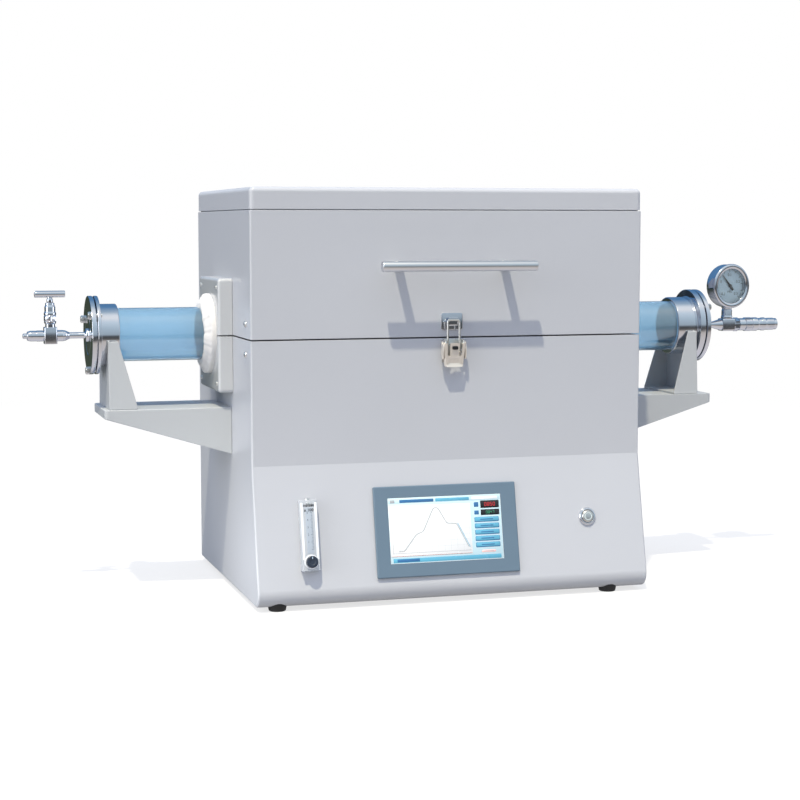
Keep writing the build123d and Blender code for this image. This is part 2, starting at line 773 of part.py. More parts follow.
# ---- lid --------------------------------------------------------------------------------------
def make_lid_shell():
    outer = block(-half_case, half_case, 0, case_depth, lid_bottom, band_height)
    uprights = outer.edges().filter_by(Axis.Z).filter_by(lambda e: e.center().Y < 1)
    outer = fillet(uprights, corner_radius)
    t = sheet
    inner = block(-half_case + t, half_case - t, t, case_depth - t, lid_bottom - 1, band_height - t)
    window = block(-half_case + return_width, half_case - return_width, return_width,
                   case_depth - return_width, band_height - 2 * t, band_height + 1)
    shell = outer - inner - window
    shell -= neck_space(lid_bottom - 1, seam_height + port_rise - port_wall)
    for column in range(-5, 6):
        shell -= block(column * 40 - 14, column * 40 + 14, case_depth - 5, case_depth + 5,
                       band_height - 32, band_height - 26)
    keep("lid_shell", shell)


def make_lid_cap():
    low = band_height + band_gap
    outer = block(-half_case, half_case, 0, case_depth, low, top_height)
    rounded = outer.edges().filter_by(lambda e: e.center().Z > low + 1)
    outer = fillet(rounded, cap_radius)
    t = sheet
    inner = block(-half_case + t, half_case - t, t, case_depth - t, low - 1, top_height - t)
    inner = fillet(inner.edges().filter_by(lambda e: e.center().Z > low), cap_radius - t)
    cap = outer - inner
    step = 4
    rim = block(-half_case + step, half_case - step, step, case_depth - step, band_height,
                low + 6)
    rim -= block(-half_case + 2 * step, half_case - 2 * step, 2 * step, case_depth - 2 * step,
                 band_height - 1, low + 7)
    ledge = block(-half_case + t / 2, half_case - t / 2, t / 2, case_depth - t / 2, low, low + t)
    ledge &= outer
    ledge -= block(-half_case + 2 * step, half_case - 2 * step, 2 * step,
                   case_depth - 2 * step, low - 1, low + 7)
    keep("lid_cap", cap + rim + ledge)


def make_handle():
    z = seam_height + handle_rise
    grip = bar((-handle_length / 2, -handle_out, z), (1, 0, 0), handle_length, handle_radius)
    grip = chamfer(grip.edges().filter_by(GeomType.CIRCLE), 1.5)
    keep("handle_bar", grip)
    space = bar((-handle_length, -handle_out, z), (1, 0, 0), 2 * handle_length, handle_radius)
    legs = []
    for x in (-handle_leg_x, handle_leg_x):
        place = Plane((x, 0, z), z_dir=(0, -1, 0))
        leg = turned(place, [(0, 0), (handle_foot_radius, 0), (handle_foot_radius, 3),
                             (handle_leg_radius, 4.5), (handle_leg_radius, handle_out),
                             (0, handle_out)])
        legs.append(leg - space)
    keep("handle_legs", *legs)


def hinge_set(sign):
    """Leaf with its knuckles for each of the two hinges; sign is -1 for the base, 1 for the lid."""
    half, third = hinge_width / 2, hinge_width / 6
    leaves = []
    for centre in (-hinge_x, hinge_x):
        near = seam_height + sign * (knuckle_radius - 1.5)
        far = seam_height + sign * leaf_height
        leaf = block(centre - half, centre + half, case_depth, case_depth + leaf_thick,
                     min(near, far), max(near, far))
        spans = [(-third + fit_gap, third - fit_gap)] if sign > 0 else [(-half, -third),
                                                                        (third, half)]
        for x0, x1 in spans:
            web = seam_height + sign * 3, seam_height + sign * 12
            leaf += block(centre + x0, centre + x1, case_depth, hinge_y, min(web), max(web))
            leaf += bar((centre + x0, hinge_y, seam_height), (1, 0, 0), x1 - x0, knuckle_radius)
            leaf -= bar((centre + x0 - 1, hinge_y, seam_height), (1, 0, 0), x1 - x0 + 2,
                        pin_radius + pin_gap)
        leaves.append(leaf)
    return leaves


def make_hinges():
    keep("base_hinges", *hinge_set(-1))
    keep("lid_hinges", *hinge_set(1))
    half = hinge_width / 2
    pins = []
    for centre in (-hinge_x, hinge_x):
        place = Plane((centre, hinge_y, seam_height), z_dir=(1, 0, 0))
        end = half + fit_gap
        pins.append(turned(place, [
            (0, -end - 2), (4.5, -end - 2), (4.5, -end), (pin_radius, -end), (pin_radius, end),
            (4.5, end), (4.5, end + 2), (0, end + 2)]))
    keep("hinge_pins", *pins)


# ---- latch ------------------------------------------------------------------------------------
def make_latch_base():
    plate = block(-latch_width / 2, latch_width / 2, -latch_plate, 0, lever_pivot_z - 28,
                  base_top - 1)
    for side in (-1, 1):
        x0, x1 = sorted((side * latch_ear_x, side * (latch_ear_x + latch_plate)))
        ear = block(x0, x1, -latch_pivot_out, 0, lever_pivot_z - 6.5, lever_pivot_z + 6.5)
        ear += bar((x0, -latch_pivot_out, lever_pivot_z), (1, 0, 0), latch_plate, 6.5)
        ear -= bar((x0 - 1, -latch_pivot_out, lever_pivot_z), (1, 0, 0), latch_plate + 2,
                   latch_rivet + pin_gap)
        plate += ear
    keep("latch_base", plate)


def make_latch_lever():
    """Tapered lever with cheeks outside the ears, its free end turned away from the case."""
    top = lever_pivot_z + 3.5
    plate_top = bail_pivot_z - 5
    tip = lever_pivot_z - lever_length
    back = -latch_pivot_out - lever_out
    face = make_face(Polyline(
        (-lever_top_width / 2, plate_top), (lever_top_width / 2, plate_top),
        (lever_tip_width / 2, tip), (-lever_tip_width / 2, tip), close=True))
    blank = extrude(Pos(0, back + 4, 0) * (Plane.XZ * face), 16, dir=(0, -1, 0))
    bend = plate_top - 3
    t = lever_sheet
    section = [(back, plate_top), (back - t, plate_top), (back - t, bend), (back - t - 8, tip), (back - 8, tip),
               (back, bend)]
    lever = blank & along_x(section, -lever_top_width, lever_top_width)
    for side in (-1, 1):
        outer = side * lever_top_width / 2
        x0, x1 = sorted((outer, outer - side * t))
        cheek = along_x([(back - t, plate_top - 1), (back - t, plate_top + 2),
                         (-latch_pivot_out - 3.5, top), (-latch_pivot_out + 3.5, top),
                         (-latch_pivot_out + 3.5, bail_pivot_z - 3), (back, plate_top - 1)], x0, x1)
        lever += cheek
        rivet = sorted((side * (latch_ear_x - 0.5), outer))
        lever += bar((rivet[0], -latch_pivot_out, lever_pivot_z), (1, 0, 0),
                     rivet[1] - rivet[0], latch_rivet)
        lever -= bar((x0 - 1, -latch_pivot_out, bail_pivot_z), (1, 0, 0), t + 2,
                     bail_radius + pin_gap)
    keep("latch_lever", lever)


def make_latch_bail():
    """Wire loop: legs up to the crossbar, feet turned out into the lever's cheeks."""
    y = -latch_pivot_out
    foot = lever_top_width / 2 - bail_x - 0.2
    across = bail_x + bail_radius
    loop = bar((-across, y, bail_top_z), (1, 0, 0), 2 * across, bail_radius)
    for side in (-1, 1):
        loop += bar((side * bail_x, y, bail_pivot_z), (0, 0, 1), bail_length, bail_radius)
        loop += bar((side * (bail_x - bail_radius), y, bail_pivot_z), (side, 0, 0),
                    foot + bail_radius, bail_radius)
    keep("latch_bail", loop)


def make_latch_keeper():
    """Plate on the lid with a lip bent forward and up, just behind the bail's crossbar."""
    lip = -latch_pivot_out + bail_radius + fit_gap
    plate = block(-keeper_width / 2, keeper_width / 2, -latch_plate, 0, lid_bottom + 10,
                  bail_top_z + 10)
    shelf = bail_top_z - 9
    hook = [(-latch_plate, shelf), (lip, shelf), (lip, bail_top_z + 4), (lip + 2, bail_top_z + 4),
            (lip + 2, shelf + 2), (-latch_plate, shelf + 2)]
    plate += along_x(hook, -keeper_lip_x, keeper_lip_x)
    keep("latch_keeper", plate)


# ---- inside the case --------------------------------------------------------------------------
def make_fan():
    y1 = case_depth - sheet
    y0 = y1 - fan_thick
    middle = Plane((fan_x, y0, fan_height), x_dir=(1, 0, 0), z_dir=(0, 1, 0))
    half = fan_side / 2
    frame = slab(middle, fan_side, fan_side, 0, fan_thick, 4)
    frame -= middle * extrude(Circle(half - 2), 2 * fan_thick)
    spokes = middle * (Box(4, fan_side - 2, 3) + Box(fan_side - 2, 4, 3))
    spokes = spokes.moved(Location((0, 1.5, 0)))
    frame += spokes + middle * extrude(Circle(fan_hub - 2), 3)
    frame -= middle * extrude(Circle(1.5 + pin_gap), 10)
    keep("fan_frame", frame)
    low, high = 3.5, fan_thick - 1
    rotor = middle * Pos(0, 0, low) * extrude(Circle(fan_hub), high - low)
    rotor += middle * Pos(0, 0, 0.5) * extrude(Circle(1.5), 5)
    tip = half - 3
    for i in range(fan_blades):
        blade = Pos((fan_hub + tip) / 2 - 1, 0, (low + high) / 2) * Rot(35, 0, 0) * Box(
            tip - fan_hub, 1.5, high - low - 2)
        rotor += middle * Rot(0, 0, i * 360 / fan_blades) * blade
    keep("fan_rotor", rotor)


def make_gland():
    outside = Plane((gland_x, case_depth, gland_height), x_dir=(1, 0, 0), z_dir=(0, 1, 0))
    body = hex_bar(outside, 2 * gland_radius, 6)
    body += turned(outside, [(0, 6), (gland_radius - 1, 6), (gland_radius - 1, 14),
                             (gland_radius - 4, 18), (0, 18)])
    body += outside * Pos(0, 0, -12) * extrude(Circle(gland_radius - 2 - fit_gap), 12)
    body -= outside * Cylinder(4, 80)
    keep("cable_gland", body)


def upright(x, y, length, depth, low, high):
    """Cuboid centred on a point of the floor."""
    return block(x - length / 2, x + length / 2, y - depth / 2, y + depth / 2, low, high)


def make_devices():
    floor = foot_height + 2 * sheet
    top = floor + relay_rise
    sink = upright(relay_x, device_y, relay_length, relay_depth, floor, floor + relay_base)
    sink += upright(relay_x, device_y, relay_length, relay_depth, top - relay_base, top)
    pitch = (relay_length - relay_fin) / (relay_fins - 1)
    for i in range(relay_fins):
        x = relay_x + (i - (relay_fins - 1) / 2) * pitch
        sink += upright(x, device_y, relay_fin, relay_depth, floor, top)
    relay = upright(relay_x, device_y, relay_body, relay_body_depth, top, top + relay_body_rise)
    for side in (-1, 1):
        relay -= upright(relay_x + side * (relay_body - relay_step) / 2, device_y, relay_step,
                         relay_body_depth - relay_step, top + relay_body_rise - relay_step,
                         top + relay_body_rise + 1)
    keep("relay_unit", sink, relay)

    top = floor + supply_rise
    supply = upright(supply_x, device_y, supply_length, supply_depth, floor, top)
    for i in range(supply_slots):
        x = supply_x + (i - (supply_slots - 1) / 2) * 2 * supply_slot
        supply -= upright(x, device_y, supply_slot, supply_depth / 2, top - 1, top + 1)
    keep("power_supply", supply)

    top = floor + terminal_rise
    strip = upright(terminal_x, device_y, terminal_length, terminal_depth, floor, top)
    pitch = (terminal_length - terminal_fin) / (terminal_fins - 1)
    for i in range(terminal_fins):
        x = terminal_x + (i - (terminal_fins - 1) / 2) * pitch
        strip += upright(x, device_y, terminal_fin, terminal_depth, top, top + terminal_fin_rise)
    keep("terminal_block", strip)


def save_all():
    """Move every piece to the footprint's middle and write one file per node."""
    corner_a, corner_b = Vector(1e9, 1e9, 0), Vector(-1e9, -1e9, 0)
    for solids in pieces.values():
        for solid in solids:
            box = solid.bounding_box()
            corner_a = Vector(min(corner_a.X, box.min.X), min(corner_a.Y, box.min.Y), 0)
            corner_b = Vector(max(corner_b.X, box.max.X), max(corner_b.Y, box.max.Y), 0)
    shift = (corner_a + corner_b) / -2
    os.makedirs("parts", exist_ok=True)
    for name, solids in pieces.items():
        moved = [one for solid in solids for one in solid.moved(Location(shift)).solids()]
        export_step(moved[0] if len(moved) == 1 else Compound(children=moved), f"parts/{name}.step")
    return shift


make_base_shell()
make_rear_panel()
make_floor_pan()
make_feet()
make_pan("chamber_pan", -1)
make_pan("lid_pan", 1)
make_insulation("lower_insulation", -1)
make_insulation("upper_insulation", 1)
make_heater("lower_heater", -1)
make_heater("upper_heater", 1)
make_port_covers("lower_port_covers", -1)
make_port_covers("upper_port_covers", 1)
make_port_rings()
make_work_tube()
make_thermocouple()
make_inner_flanges()
make_seal_rings()
make_end_plate("left_end_plate", -1)
make_end_plate("right_end_plate", 1)
make_flange_bolts()
make_arm("left_arm", -1)
make_arm("right_arm", 1)
make_pedestal("left_pedestal", -1)
make_pedestal("right_pedestal", 1)
make_valve()
make_tee()
make_connector()
make_gauge()
make_touch_panel()
make_flowmeter()
make_button()
make_lid_shell()
make_lid_cap()
make_handle()
make_hinges()
make_latch_base()
make_latch_lever()
make_latch_bail()
make_latch_keeper()
make_fan()
make_gland()
make_devices()
footprint_shift = save_all()
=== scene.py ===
# %% [markdown]
# # A split-lid tube furnace, dressed for a render
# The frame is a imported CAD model: every sheet, flange and hinge already has its true size and
# place. This script gives each part a finish, swaps the parts whose roundness matters for
# smooth turned surfaces, and adds the small things a maker would fit last, such as screws,
# dial marks and the picture on the screen.

# %% Load the frame
import math

import bmesh
import bpy
import numpy as np
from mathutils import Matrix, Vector


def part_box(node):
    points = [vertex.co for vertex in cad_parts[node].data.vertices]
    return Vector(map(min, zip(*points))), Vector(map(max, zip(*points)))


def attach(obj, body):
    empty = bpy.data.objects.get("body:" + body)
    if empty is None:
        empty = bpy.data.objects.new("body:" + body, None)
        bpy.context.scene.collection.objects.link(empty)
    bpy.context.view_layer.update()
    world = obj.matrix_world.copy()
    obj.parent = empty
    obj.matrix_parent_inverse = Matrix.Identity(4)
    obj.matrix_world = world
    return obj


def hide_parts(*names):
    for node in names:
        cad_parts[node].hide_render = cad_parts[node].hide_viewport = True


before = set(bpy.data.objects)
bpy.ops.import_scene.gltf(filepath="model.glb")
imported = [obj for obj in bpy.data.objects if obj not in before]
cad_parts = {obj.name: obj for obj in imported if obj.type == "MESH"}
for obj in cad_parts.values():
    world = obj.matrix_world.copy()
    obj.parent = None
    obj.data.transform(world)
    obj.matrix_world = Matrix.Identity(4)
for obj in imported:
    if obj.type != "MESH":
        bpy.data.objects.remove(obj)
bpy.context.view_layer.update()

# %% [markdown]
# ## Landmarks
# The case's middle, the lid's front face and the work tube's axis are read from the parts'
# boxes. Fittings are then placed in millimetres from the case's middle, the front face and
# the bench. What several of them share, such as the depth and the height of the gas line,
# has its name here.

# %% Landmarks, in metres
MM = 0.001
lid_low, lid_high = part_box("lid_shell")
tube_low, tube_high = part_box("work_tube")

CASE_X = (lid_low.x + lid_high.x) / 2
FRONT_Y = lid_low.y
SEAM_Z = (lid_low.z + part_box("base_shell")[1].z) / 2
HALF_CASE = (lid_high.x - lid_low.x) / 2
TUBE_X = (tube_low.x + tube_high.x) / 2
AXIS_Y = (tube_low.y + tube_high.y) / 2
AXIS_Z = (tube_low.z + tube_high.z) / 2
CREASE_Z = 206 * MM
PANEL_LEAN = 42 * MM
FOOT_Z = 12 * MM
LEAN = math.atan2(PANEL_LEAN, CREASE_Z - FOOT_Z)
LINE_Y, LINE_Z = 204.0, 387.0  # the gas line, in mm behind the front face and over the bench
SIDES = (-1, 1)                # left and right
print("front", round(FRONT_Y, 4), "seam", round(SEAM_Z, 4),
      "axis", round(AXIS_Y, 4), round(AXIS_Z, 4))


def add_object(name, data):
    """A new object for the data, linked into the scene."""
    thing = bpy.data.objects.new(name, data)
    bpy.context.scene.collection.objects.link(thing)
    return thing


# %% [markdown]
# ## Camera
# The view is from the left of the case, a little above the lid line, through a long lens, so
# upright edges stay almost parallel. The place and the lens come from a fit of the case's
# corners.

# %% Camera
YAW, PITCH = math.radians(16.513), math.radians(5.448)
LENS, SENSOR = 81.67, 36.0                            # in mm
STAND_X, STAND_Y, STAND_Z = -0.8282, -2.5285, 0.5482  # from the middle, front face and bench
camera = add_object("camera", bpy.data.cameras.new("camera"))
camera.data.lens, camera.data.sensor_width, camera.data.clip_end = LENS, SENSOR, 100
camera.location = (CASE_X + STAND_X, FRONT_Y + STAND_Y, STAND_Z)
camera.rotation_euler = (math.pi / 2 - PITCH, 0, -YAW)
bpy.context.scene.camera = camera
bpy.context.scene.view_settings.view_transform = "Standard"
print("camera at", [round(v, 3) for v in camera.location])

# %% [markdown]
# ## Materials: a short way to write node trees
# Shader trees are wires between boxes. `Tree` adds a node with its inputs in one line: a number
# or colour sets a socket, and another node's output is wired to it. Constants are set on the
# shader's own sockets, so an exporter can read them.


# %% Node tree helper
class Tree:
    """A node tree that is written as calls: t("ShaderNodeBump", Height=x)."""

    def __init__(self, tree):
        self.tree = tree

    def __call__(self, kind, out=0, props=None, **inputs):
        node = self.tree.nodes.new(kind)
        for name, value in (props or {}).items():
            setattr(node, name, value)
        for name, value in inputs.items():
            name = name.replace("_", " ")
            key = int(name[1:]) if name[0] == "i" and name[1:].isdigit() else name
            socket = node.inputs[key]
            if isinstance(value, bpy.types.NodeSocket):
                self.tree.links.new(value, socket)
            elif isinstance(value, (int, float)) or not hasattr(socket.default_value, "__len__"):
                socket.default_value = value
            else:
                size = len(socket.default_value)
                socket.default_value = (tuple(value) + (1.0,) * size)[:size]
        return node.outputs[out] if node.outputs else node

    def math(self, operation, a, b=0.0, c=None):
        extra = {} if c is None else {"i2": c}
        return self("ShaderNodeMath", props={"operation": operation}, i0=a, i1=b, **extra)

    def ramp(self, factor, low, high, to_low=0.0, to_high=1.0):
        return self("ShaderNodeMapRange", Value=factor, From_Min=low, From_Max=high,
                    To_Min=to_low, To_Max=to_high)

    def blend(self, factor, a, b, how="MIX"):
        return self("ShaderNodeMix", out=2, props={"data_type": "RGBA", "blend_type": how},
                    i0=factor, i6=a, i7=b)


def srgb(*levels):
    """Screen levels from 0 to 255 as the linear colour that a shader wants."""
    scaled = np.array(levels, float) / 255
    linear = np.where(scaled <= 0.04045, scaled / 12.92, ((scaled + 0.055) / 1.055) ** 2.4)
    return tuple(float(v) for v in linear)


def new_group(name, inputs, outputs):
    """An empty node group: inputs and outputs are {socket name: (type, default)}."""
    group = bpy.data.node_groups.new(name, "ShaderNodeTree")
    for label, (kind, default) in inputs.items():
        socket = group.interface.new_socket(label, in_out="INPUT", socket_type="NodeSocket" + kind)
        if default is not None:
            socket.default_value = default
    for label, kind in outputs.items():
        group.interface.new_socket(label, in_out="OUTPUT", socket_type="NodeSocket" + kind)
    tree = Tree(group)
    source = group.nodes.new("NodeGroupInput").outputs
    return group, tree, source


def close_group(group, **results):
    """Wire the named results to the group's outputs."""
    sink = group.nodes.new("NodeGroupOutput")
    for label, value in results.items():
        group.links.new(value, sink.inputs[label.replace("_", " ")])
    print("group", group.name)
    return group


# %% [markdown]
# ## Shared effects
# Four effects return on many finishes, so each is a node group with named sockets:
# *tone* drifts a colour by a slow noise, *peel* is the fine skin of a powder coat,
# *brush* draws long fine scratches along one axis, and *handled* makes the smears that
# fingers leave on polished metal.

# %% Shared effect: tone
tone, t, g = new_group("tone", {"Colour": ("Color", (0.5, 0.5, 0.5, 1)),
                                "Drift": ("Float", 0.06), "Scale": ("Float", 4.0)},
                       {"Colour": "Color"})
where = t("ShaderNodeTexCoord", out="Object")
slow = t("ShaderNodeTexNoise", Vector=where, Scale=g["Scale"], Detail=3.0, Roughness=0.55)
amount = t.math("MULTIPLY", t.math("SUBTRACT", slow, 0.5), g["Drift"])
level = t.math("ADD", t.math("MULTIPLY", amount, 2.0), 1.0)
close_group(tone, Colour=t("ShaderNodeVectorMath", props={"operation": "SCALE"},
                           i0=g["Colour"], Scale=level))

# %% Shared effect: peel
peel, t, g = new_group("peel", {"Scale": ("Float", 900.0), "Roughness": ("Float", 0.4),
                                "Spread": ("Float", 0.06)},
                       {"Height": "Float", "Roughness": "Float"})
where = t("ShaderNodeTexCoord", out="Object")
skin = t("ShaderNodeTexNoise", Vector=where, Scale=g["Scale"], Detail=2.0, Roughness=0.5)
wave = t("ShaderNodeTexNoise", Vector=where, Scale=t.math("MULTIPLY", g["Scale"], 0.12), Detail=1.0)
height = t.math("ADD", t.math("MULTIPLY", skin, 0.6), t.math("MULTIPLY", wave, 0.4))
blotch = t("ShaderNodeTexNoise", Vector=where, Scale=7.0, Detail=4.0)
rough = t.math("ADD", g["Roughness"],
               t.math("MULTIPLY", t.math("SUBTRACT", blotch, 0.5), g["Spread"]))
close_group(peel, Height=height, Roughness=rough)

# %% Shared effect: brush
brush, t, g = new_group("brush", {"Stretch": ("Vector", (4.0, 400.0, 400.0)),
                                  "Roughness": ("Float", 0.3), "Spread": ("Float", 0.15)},
                        {"Height": "Float", "Roughness": "Float"})
where = t("ShaderNodeTexCoord", out="Object")
along = t("ShaderNodeVectorMath", props={"operation": "MULTIPLY"}, i0=where, i1=g["Stretch"])
hair = t("ShaderNodeTexNoise", Vector=along, Scale=1.0, Detail=3.0, Roughness=0.6)
rough = t.math("ADD", g["Roughness"],
               t.math("MULTIPLY", t.math("SUBTRACT", hair, 0.5), g["Spread"]))
close_group(brush, Height=hair, Roughness=rough)

# %% Shared effect: handled
handled, t, g = new_group("handled", {"Roughness": ("Float", 0.1), "Smear": ("Float", 0.15),
                                      "Scale": ("Float", 30.0)}, {"Roughness": "Float"})
where = t("ShaderNodeTexCoord", out="Object")
smear = t("ShaderNodeTexNoise", Vector=where, Scale=g["Scale"], Detail=5.0, Roughness=0.6,
          Distortion=0.8)
mask = t.ramp(smear, 0.45, 0.7)
close_group(handled, Roughness=t.math("ADD", g["Roughness"], t.math("MULTIPLY", mask, g["Smear"])))


# %% [markdown]
# ## Finishes
# A finish is a Principled shader with its numbers set on its own sockets, plus one or two of
# the groups above for whatever varies over the surface.


# %% Finish helpers
finishes = {}


def finish(name, **sockets):
    """A new material with a Principled shader; returns its tree and shader node."""
    material = bpy.data.materials.new(name)
    material.use_nodes = True
    tree = Tree(material.node_tree)
    shader = material.node_tree.nodes["Principled BSDF"]
    for label, value in sockets.items():
        socket = shader.inputs[label.replace("_", " ")]
        socket.default_value = (*value, 1.0) if isinstance(value, tuple) else value
    finishes[name] = material
    return tree, shader


def plug(tree, shader, label, output):
    tree.tree.links.new(output, shader.inputs[label])


def use(tree, group, **inputs):
    """Place a shared effect in a material; returns its outputs by name."""
    node = tree.tree.nodes.new("ShaderNodeGroup")
    node.node_tree = group
    for label, value in inputs.items():
        socket = node.inputs[label.replace("_", " ")]
        if isinstance(value, bpy.types.NodeSocket):
            tree.tree.links.new(value, socket)
        else:
            socket.default_value = (*value, 1.0)[:len(socket.default_value)] if isinstance(
                value, tuple) else value
    return node.outputs


def bump(tree, shader, height, strength, distance):
    plug(tree, shader, "Normal", tree("ShaderNodeBump", Height=height, Strength=strength,
                                      Distance=distance))


def tint(tree, shader, colour, drift, scale=4.0):
    """Drive the base colour by the tone effect; returns the toned colour."""
    toned = use(tree, tone, Colour=colour, Drift=drift, Scale=scale)["Colour"]
    plug(tree, shader, "Base Color", toned)
    return toned


def skinned(tree, shader, scale, roughness, depth, distance=0.0003, spread=0.06):
    """Drive roughness and bump by the peel effect."""
    skin = use(tree, peel, Scale=scale, Roughness=roughness, Spread=spread)
    plug(tree, shader, "Roughness", skin["Roughness"])
    bump(tree, shader, skin["Height"], depth, distance)


def smeared(tree, shader, roughness, smear):
    """Drive the roughness by the handled effect."""
    plug(tree, shader, "Roughness",
         use(tree, handled, Roughness=roughness, Smear=smear)["Roughness"])


def painted(name, colour, roughness, coat=0.0):
    """Powder coat: a slow drift in tone and a fine peel."""
    tree, shader = finish(name, Metallic=0.0, Coat_Weight=coat, Coat_Roughness=0.2)
    tint(tree, shader, colour, 0.035)
    skinned(tree, shader, 1100.0, roughness, 0.12)


def bare_metal(name, colour, roughness, stretch=(4.0, 500.0, 500.0), depth=0.05, drift=0.04,
               spread=0.12, metallic=1.0):
    """Brushed or rolled metal: hair lines along one axis."""
    tree, shader = finish(name, Metallic=metallic)
    tint(tree, shader, colour, drift, 12.0)
    lines = use(tree, brush, Stretch=stretch, Roughness=roughness, Spread=spread)
    plug(tree, shader, "Roughness", lines["Roughness"])
    bump(tree, shader, lines["Height"], depth, 0.0002)


def moulded(name, colour, roughness):
    """Moulded plastic or rubber with a fine grain."""
    tree, shader = finish(name)
    tint(tree, shader, colour, 0.03, 20.0)
    skinned(tree, shader, 1600.0, roughness, 0.1, spread=0.08)


# %% Painted sheet
painted("case_paint", srgb(186, 189, 196), 0.4, coat=0.15)
painted("port_paint", srgb(188, 191, 195), 0.26, coat=0.5)
# The arms and stands take a darker copy of the case paint: painted shade.
painted("arm_paint", srgb(182, 186, 190), 0.42)

# %% Metals
bare_metal("panel_steel", srgb(200, 202, 205), 0.38)
bare_metal("bright_steel", srgb(224, 223, 220), 0.28, stretch=(300.0, 300.0, 300.0), depth=0.01,
           spread=0.05)
# The lever steel's warm beige is a painted reflection of the warm floor below it.
bare_metal("pressed_steel", srgb(220, 214, 206), 0.32, metallic=0.5)
bare_metal("hinge_steel", srgb(196, 199, 203), 0.36, stretch=(3.0, 400.0, 400.0), depth=0.02)
bare_metal("handle_metal", srgb(214, 216, 220), 0.3, stretch=(3.0, 700.0, 700.0))
bare_metal("device_metal", srgb(190, 192, 196), 0.42)
bare_metal("element_strip", srgb(110, 98, 88), 0.5, drift=0.2)

tree, shader = finish("polished_steel", Metallic=1.0)
tint(tree, shader, srgb(214, 218, 226), 0.04, 25.0)
smeared(tree, shader, 0.09, 0.12)

# %% Rubber and plastics
# The dial's pale blue is a painted reflection of sky on a white dial; the knob's mark shares it.
for name, level, roughness in (
        ("foot_rubber", (24, 25, 27), 0.62), ("seal_rubber", (40, 40, 42), 0.5),
        ("bezel_plastic", (98, 119, 137), 0.42), ("knob_plastic", (38, 48, 64), 0.34),
        ("black_plastic", (34, 35, 37), 0.5), ("button_plastic", (206, 216, 216), 0.3),
        ("flow_red", (190, 36, 30), 0.3), ("dial_white", (186, 208, 226), 0.35),
        ("needle_black", (26, 27, 30), 0.35), ("screen", (238, 243, 246), 0.18)):
    moulded(name, srgb(*level), roughness)

# %% Fibre, glass and the work tube
for name, level in (("fibre", (216, 215, 215)), ("fibre_board", (194, 192, 188))):
    tree, shader = finish(name, Sheen_Weight=0.3, Sheen_Roughness=0.6)
    tint(tree, shader, srgb(*level), 0.08, 18.0)
    skinned(tree, shader, 420.0, 0.9, 0.6, distance=0.0012, spread=0.1)

tint(*finish("clear_glass", Roughness=0.04, IOR=1.5, Transmission_Weight=1.0),
     srgb(244, 248, 250), 0.01)
tint(*finish("clear_acrylic", Roughness=0.12, IOR=1.49, Transmission_Weight=0.45),
     srgb(226, 232, 240), 0.02)
# The tube's pale blue colour is a painted reflection of sky; clear quartz has none of its own.
tree, shader = finish("work_tube", IOR=1.46, Transmission_Weight=0.85, Coat_Weight=1.0,
                      Coat_IOR=1.7, Coat_Roughness=0.05)
tint(tree, shader, srgb(186, 222, 245), 0.05)
smeared(tree, shader, 0.05, 0.08)
print("finishes:", len(finishes))

# %% [markdown]
# ## Which finish goes where
# One table names the parts under each finish.

# %% Finish the CAD parts
wearing = {
    "case_paint": "base_shell lid_shell lid_cap rear_panel",
    "port_paint": "lower_port_covers upper_port_covers",
    "arm_paint": "left_arm right_arm left_pedestal right_pedestal",
    "panel_steel": "floor_pan chamber_pan lid_pan",
    "foot_rubber": "feet",
    "fibre": "port_rings",
    "fibre_board": "lower_insulation upper_insulation",
    "element_strip": "lower_heater upper_heater",
    "work_tube": "work_tube",
    "polished_steel": "inner_flanges left_end_plate right_end_plate valve_body valve_bonnet "
                      "valve_handle gas_stub gauge_tee outlet_connector gauge_case gauge_bezel",
    "bright_steel": "flange_bolts latch_base latch_lever latch_bail latch_keeper button_ring "
                    "thermocouple flow_ports",
    "hinge_steel": "base_hinges lid_hinges hinge_pins",
    "seal_rubber": "seal_rings",
    "dial_white": "gauge_dial",
    "needle_black": "gauge_needle",
    "clear_glass": "gauge_glass",
    "bezel_plastic": "touch_bezel",
    "screen": "touch_screen",
    "clear_acrylic": "flow_block",
    "flow_red": "flow_float",
    "knob_plastic": "flow_knob",
    "button_plastic": "button_cap",
    "handle_metal": "handle_bar handle_legs",
    "black_plastic": "fan_frame fan_rotor cable_gland terminal_block",
    "device_metal": "relay_unit power_supply",
}
for finish_name, parts in wearing.items():
    for part in parts.split():
        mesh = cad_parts[part].data
        mesh.materials.clear()
        mesh.materials.append(finishes[finish_name])
left_plain = set(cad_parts) - {p for parts in wearing.values() for p in parts.split()}
print("without a finish:", sorted(left_plain))

# %% [markdown]
# ## Surfaces from formulas
# Turned parts, nuts, plates and wires are all surfaces of two parameters. A grid of points is
# worked out at once with numpy, and one rule joins each point to its neighbours. `Shape` keeps
# points and faces together, so several shapes can become one piece.


# %% Places
def at(x, y, z):
    """Point given in millimetres from the case's middle, the front face and the bench."""
    return np.array([CASE_X + x * MM, FRONT_Y + y * MM, z * MM])


class Place:
    """A point with three unit directions; n is the way the piece faces."""

    def __init__(self, origin, n, u):
        self.o = np.array(origin, float)
        self.n = np.array(n, float) / np.linalg.norm(n)
        self.u = np.array(u, float) / np.linalg.norm(u)
        self.v = np.cross(self.n, self.u)

    def __call__(self, points):
        """Points along u, v and n, in metres, carried into the scene."""
        points = np.asarray(points, float)
        return (self.o + points[..., :1] * self.u + points[..., 1:2] * self.v
                + points[..., 2:3] * self.n)

    def moved(self, u=0.0, v=0.0, n=0.0):
        """The same directions at a point moved by millimetres."""
        return Place(self(np.array([u, v, n]) * MM), self.n, self.u)


def tube_end(side, distance):
    """Place on the tube axis, facing out of one end, distance mm from the tube's middle."""
    return Place((TUBE_X + side * distance * MM, AXIS_Y, AXIS_Z), (side, 0, 0), (0, 1, 0))


def on_line(x, side=1):
    """Place on the gas line, x mm from the case's middle, facing away to one side."""
    return Place(at(x, LINE_Y, LINE_Z), (side, 0, 0), (0, 1, 0))


def facing_out(x, y, z):
    """Place that faces forward, given as for `at`."""
    return Place(at(x, y, z), (0, -1, 0), (1, 0, 0))


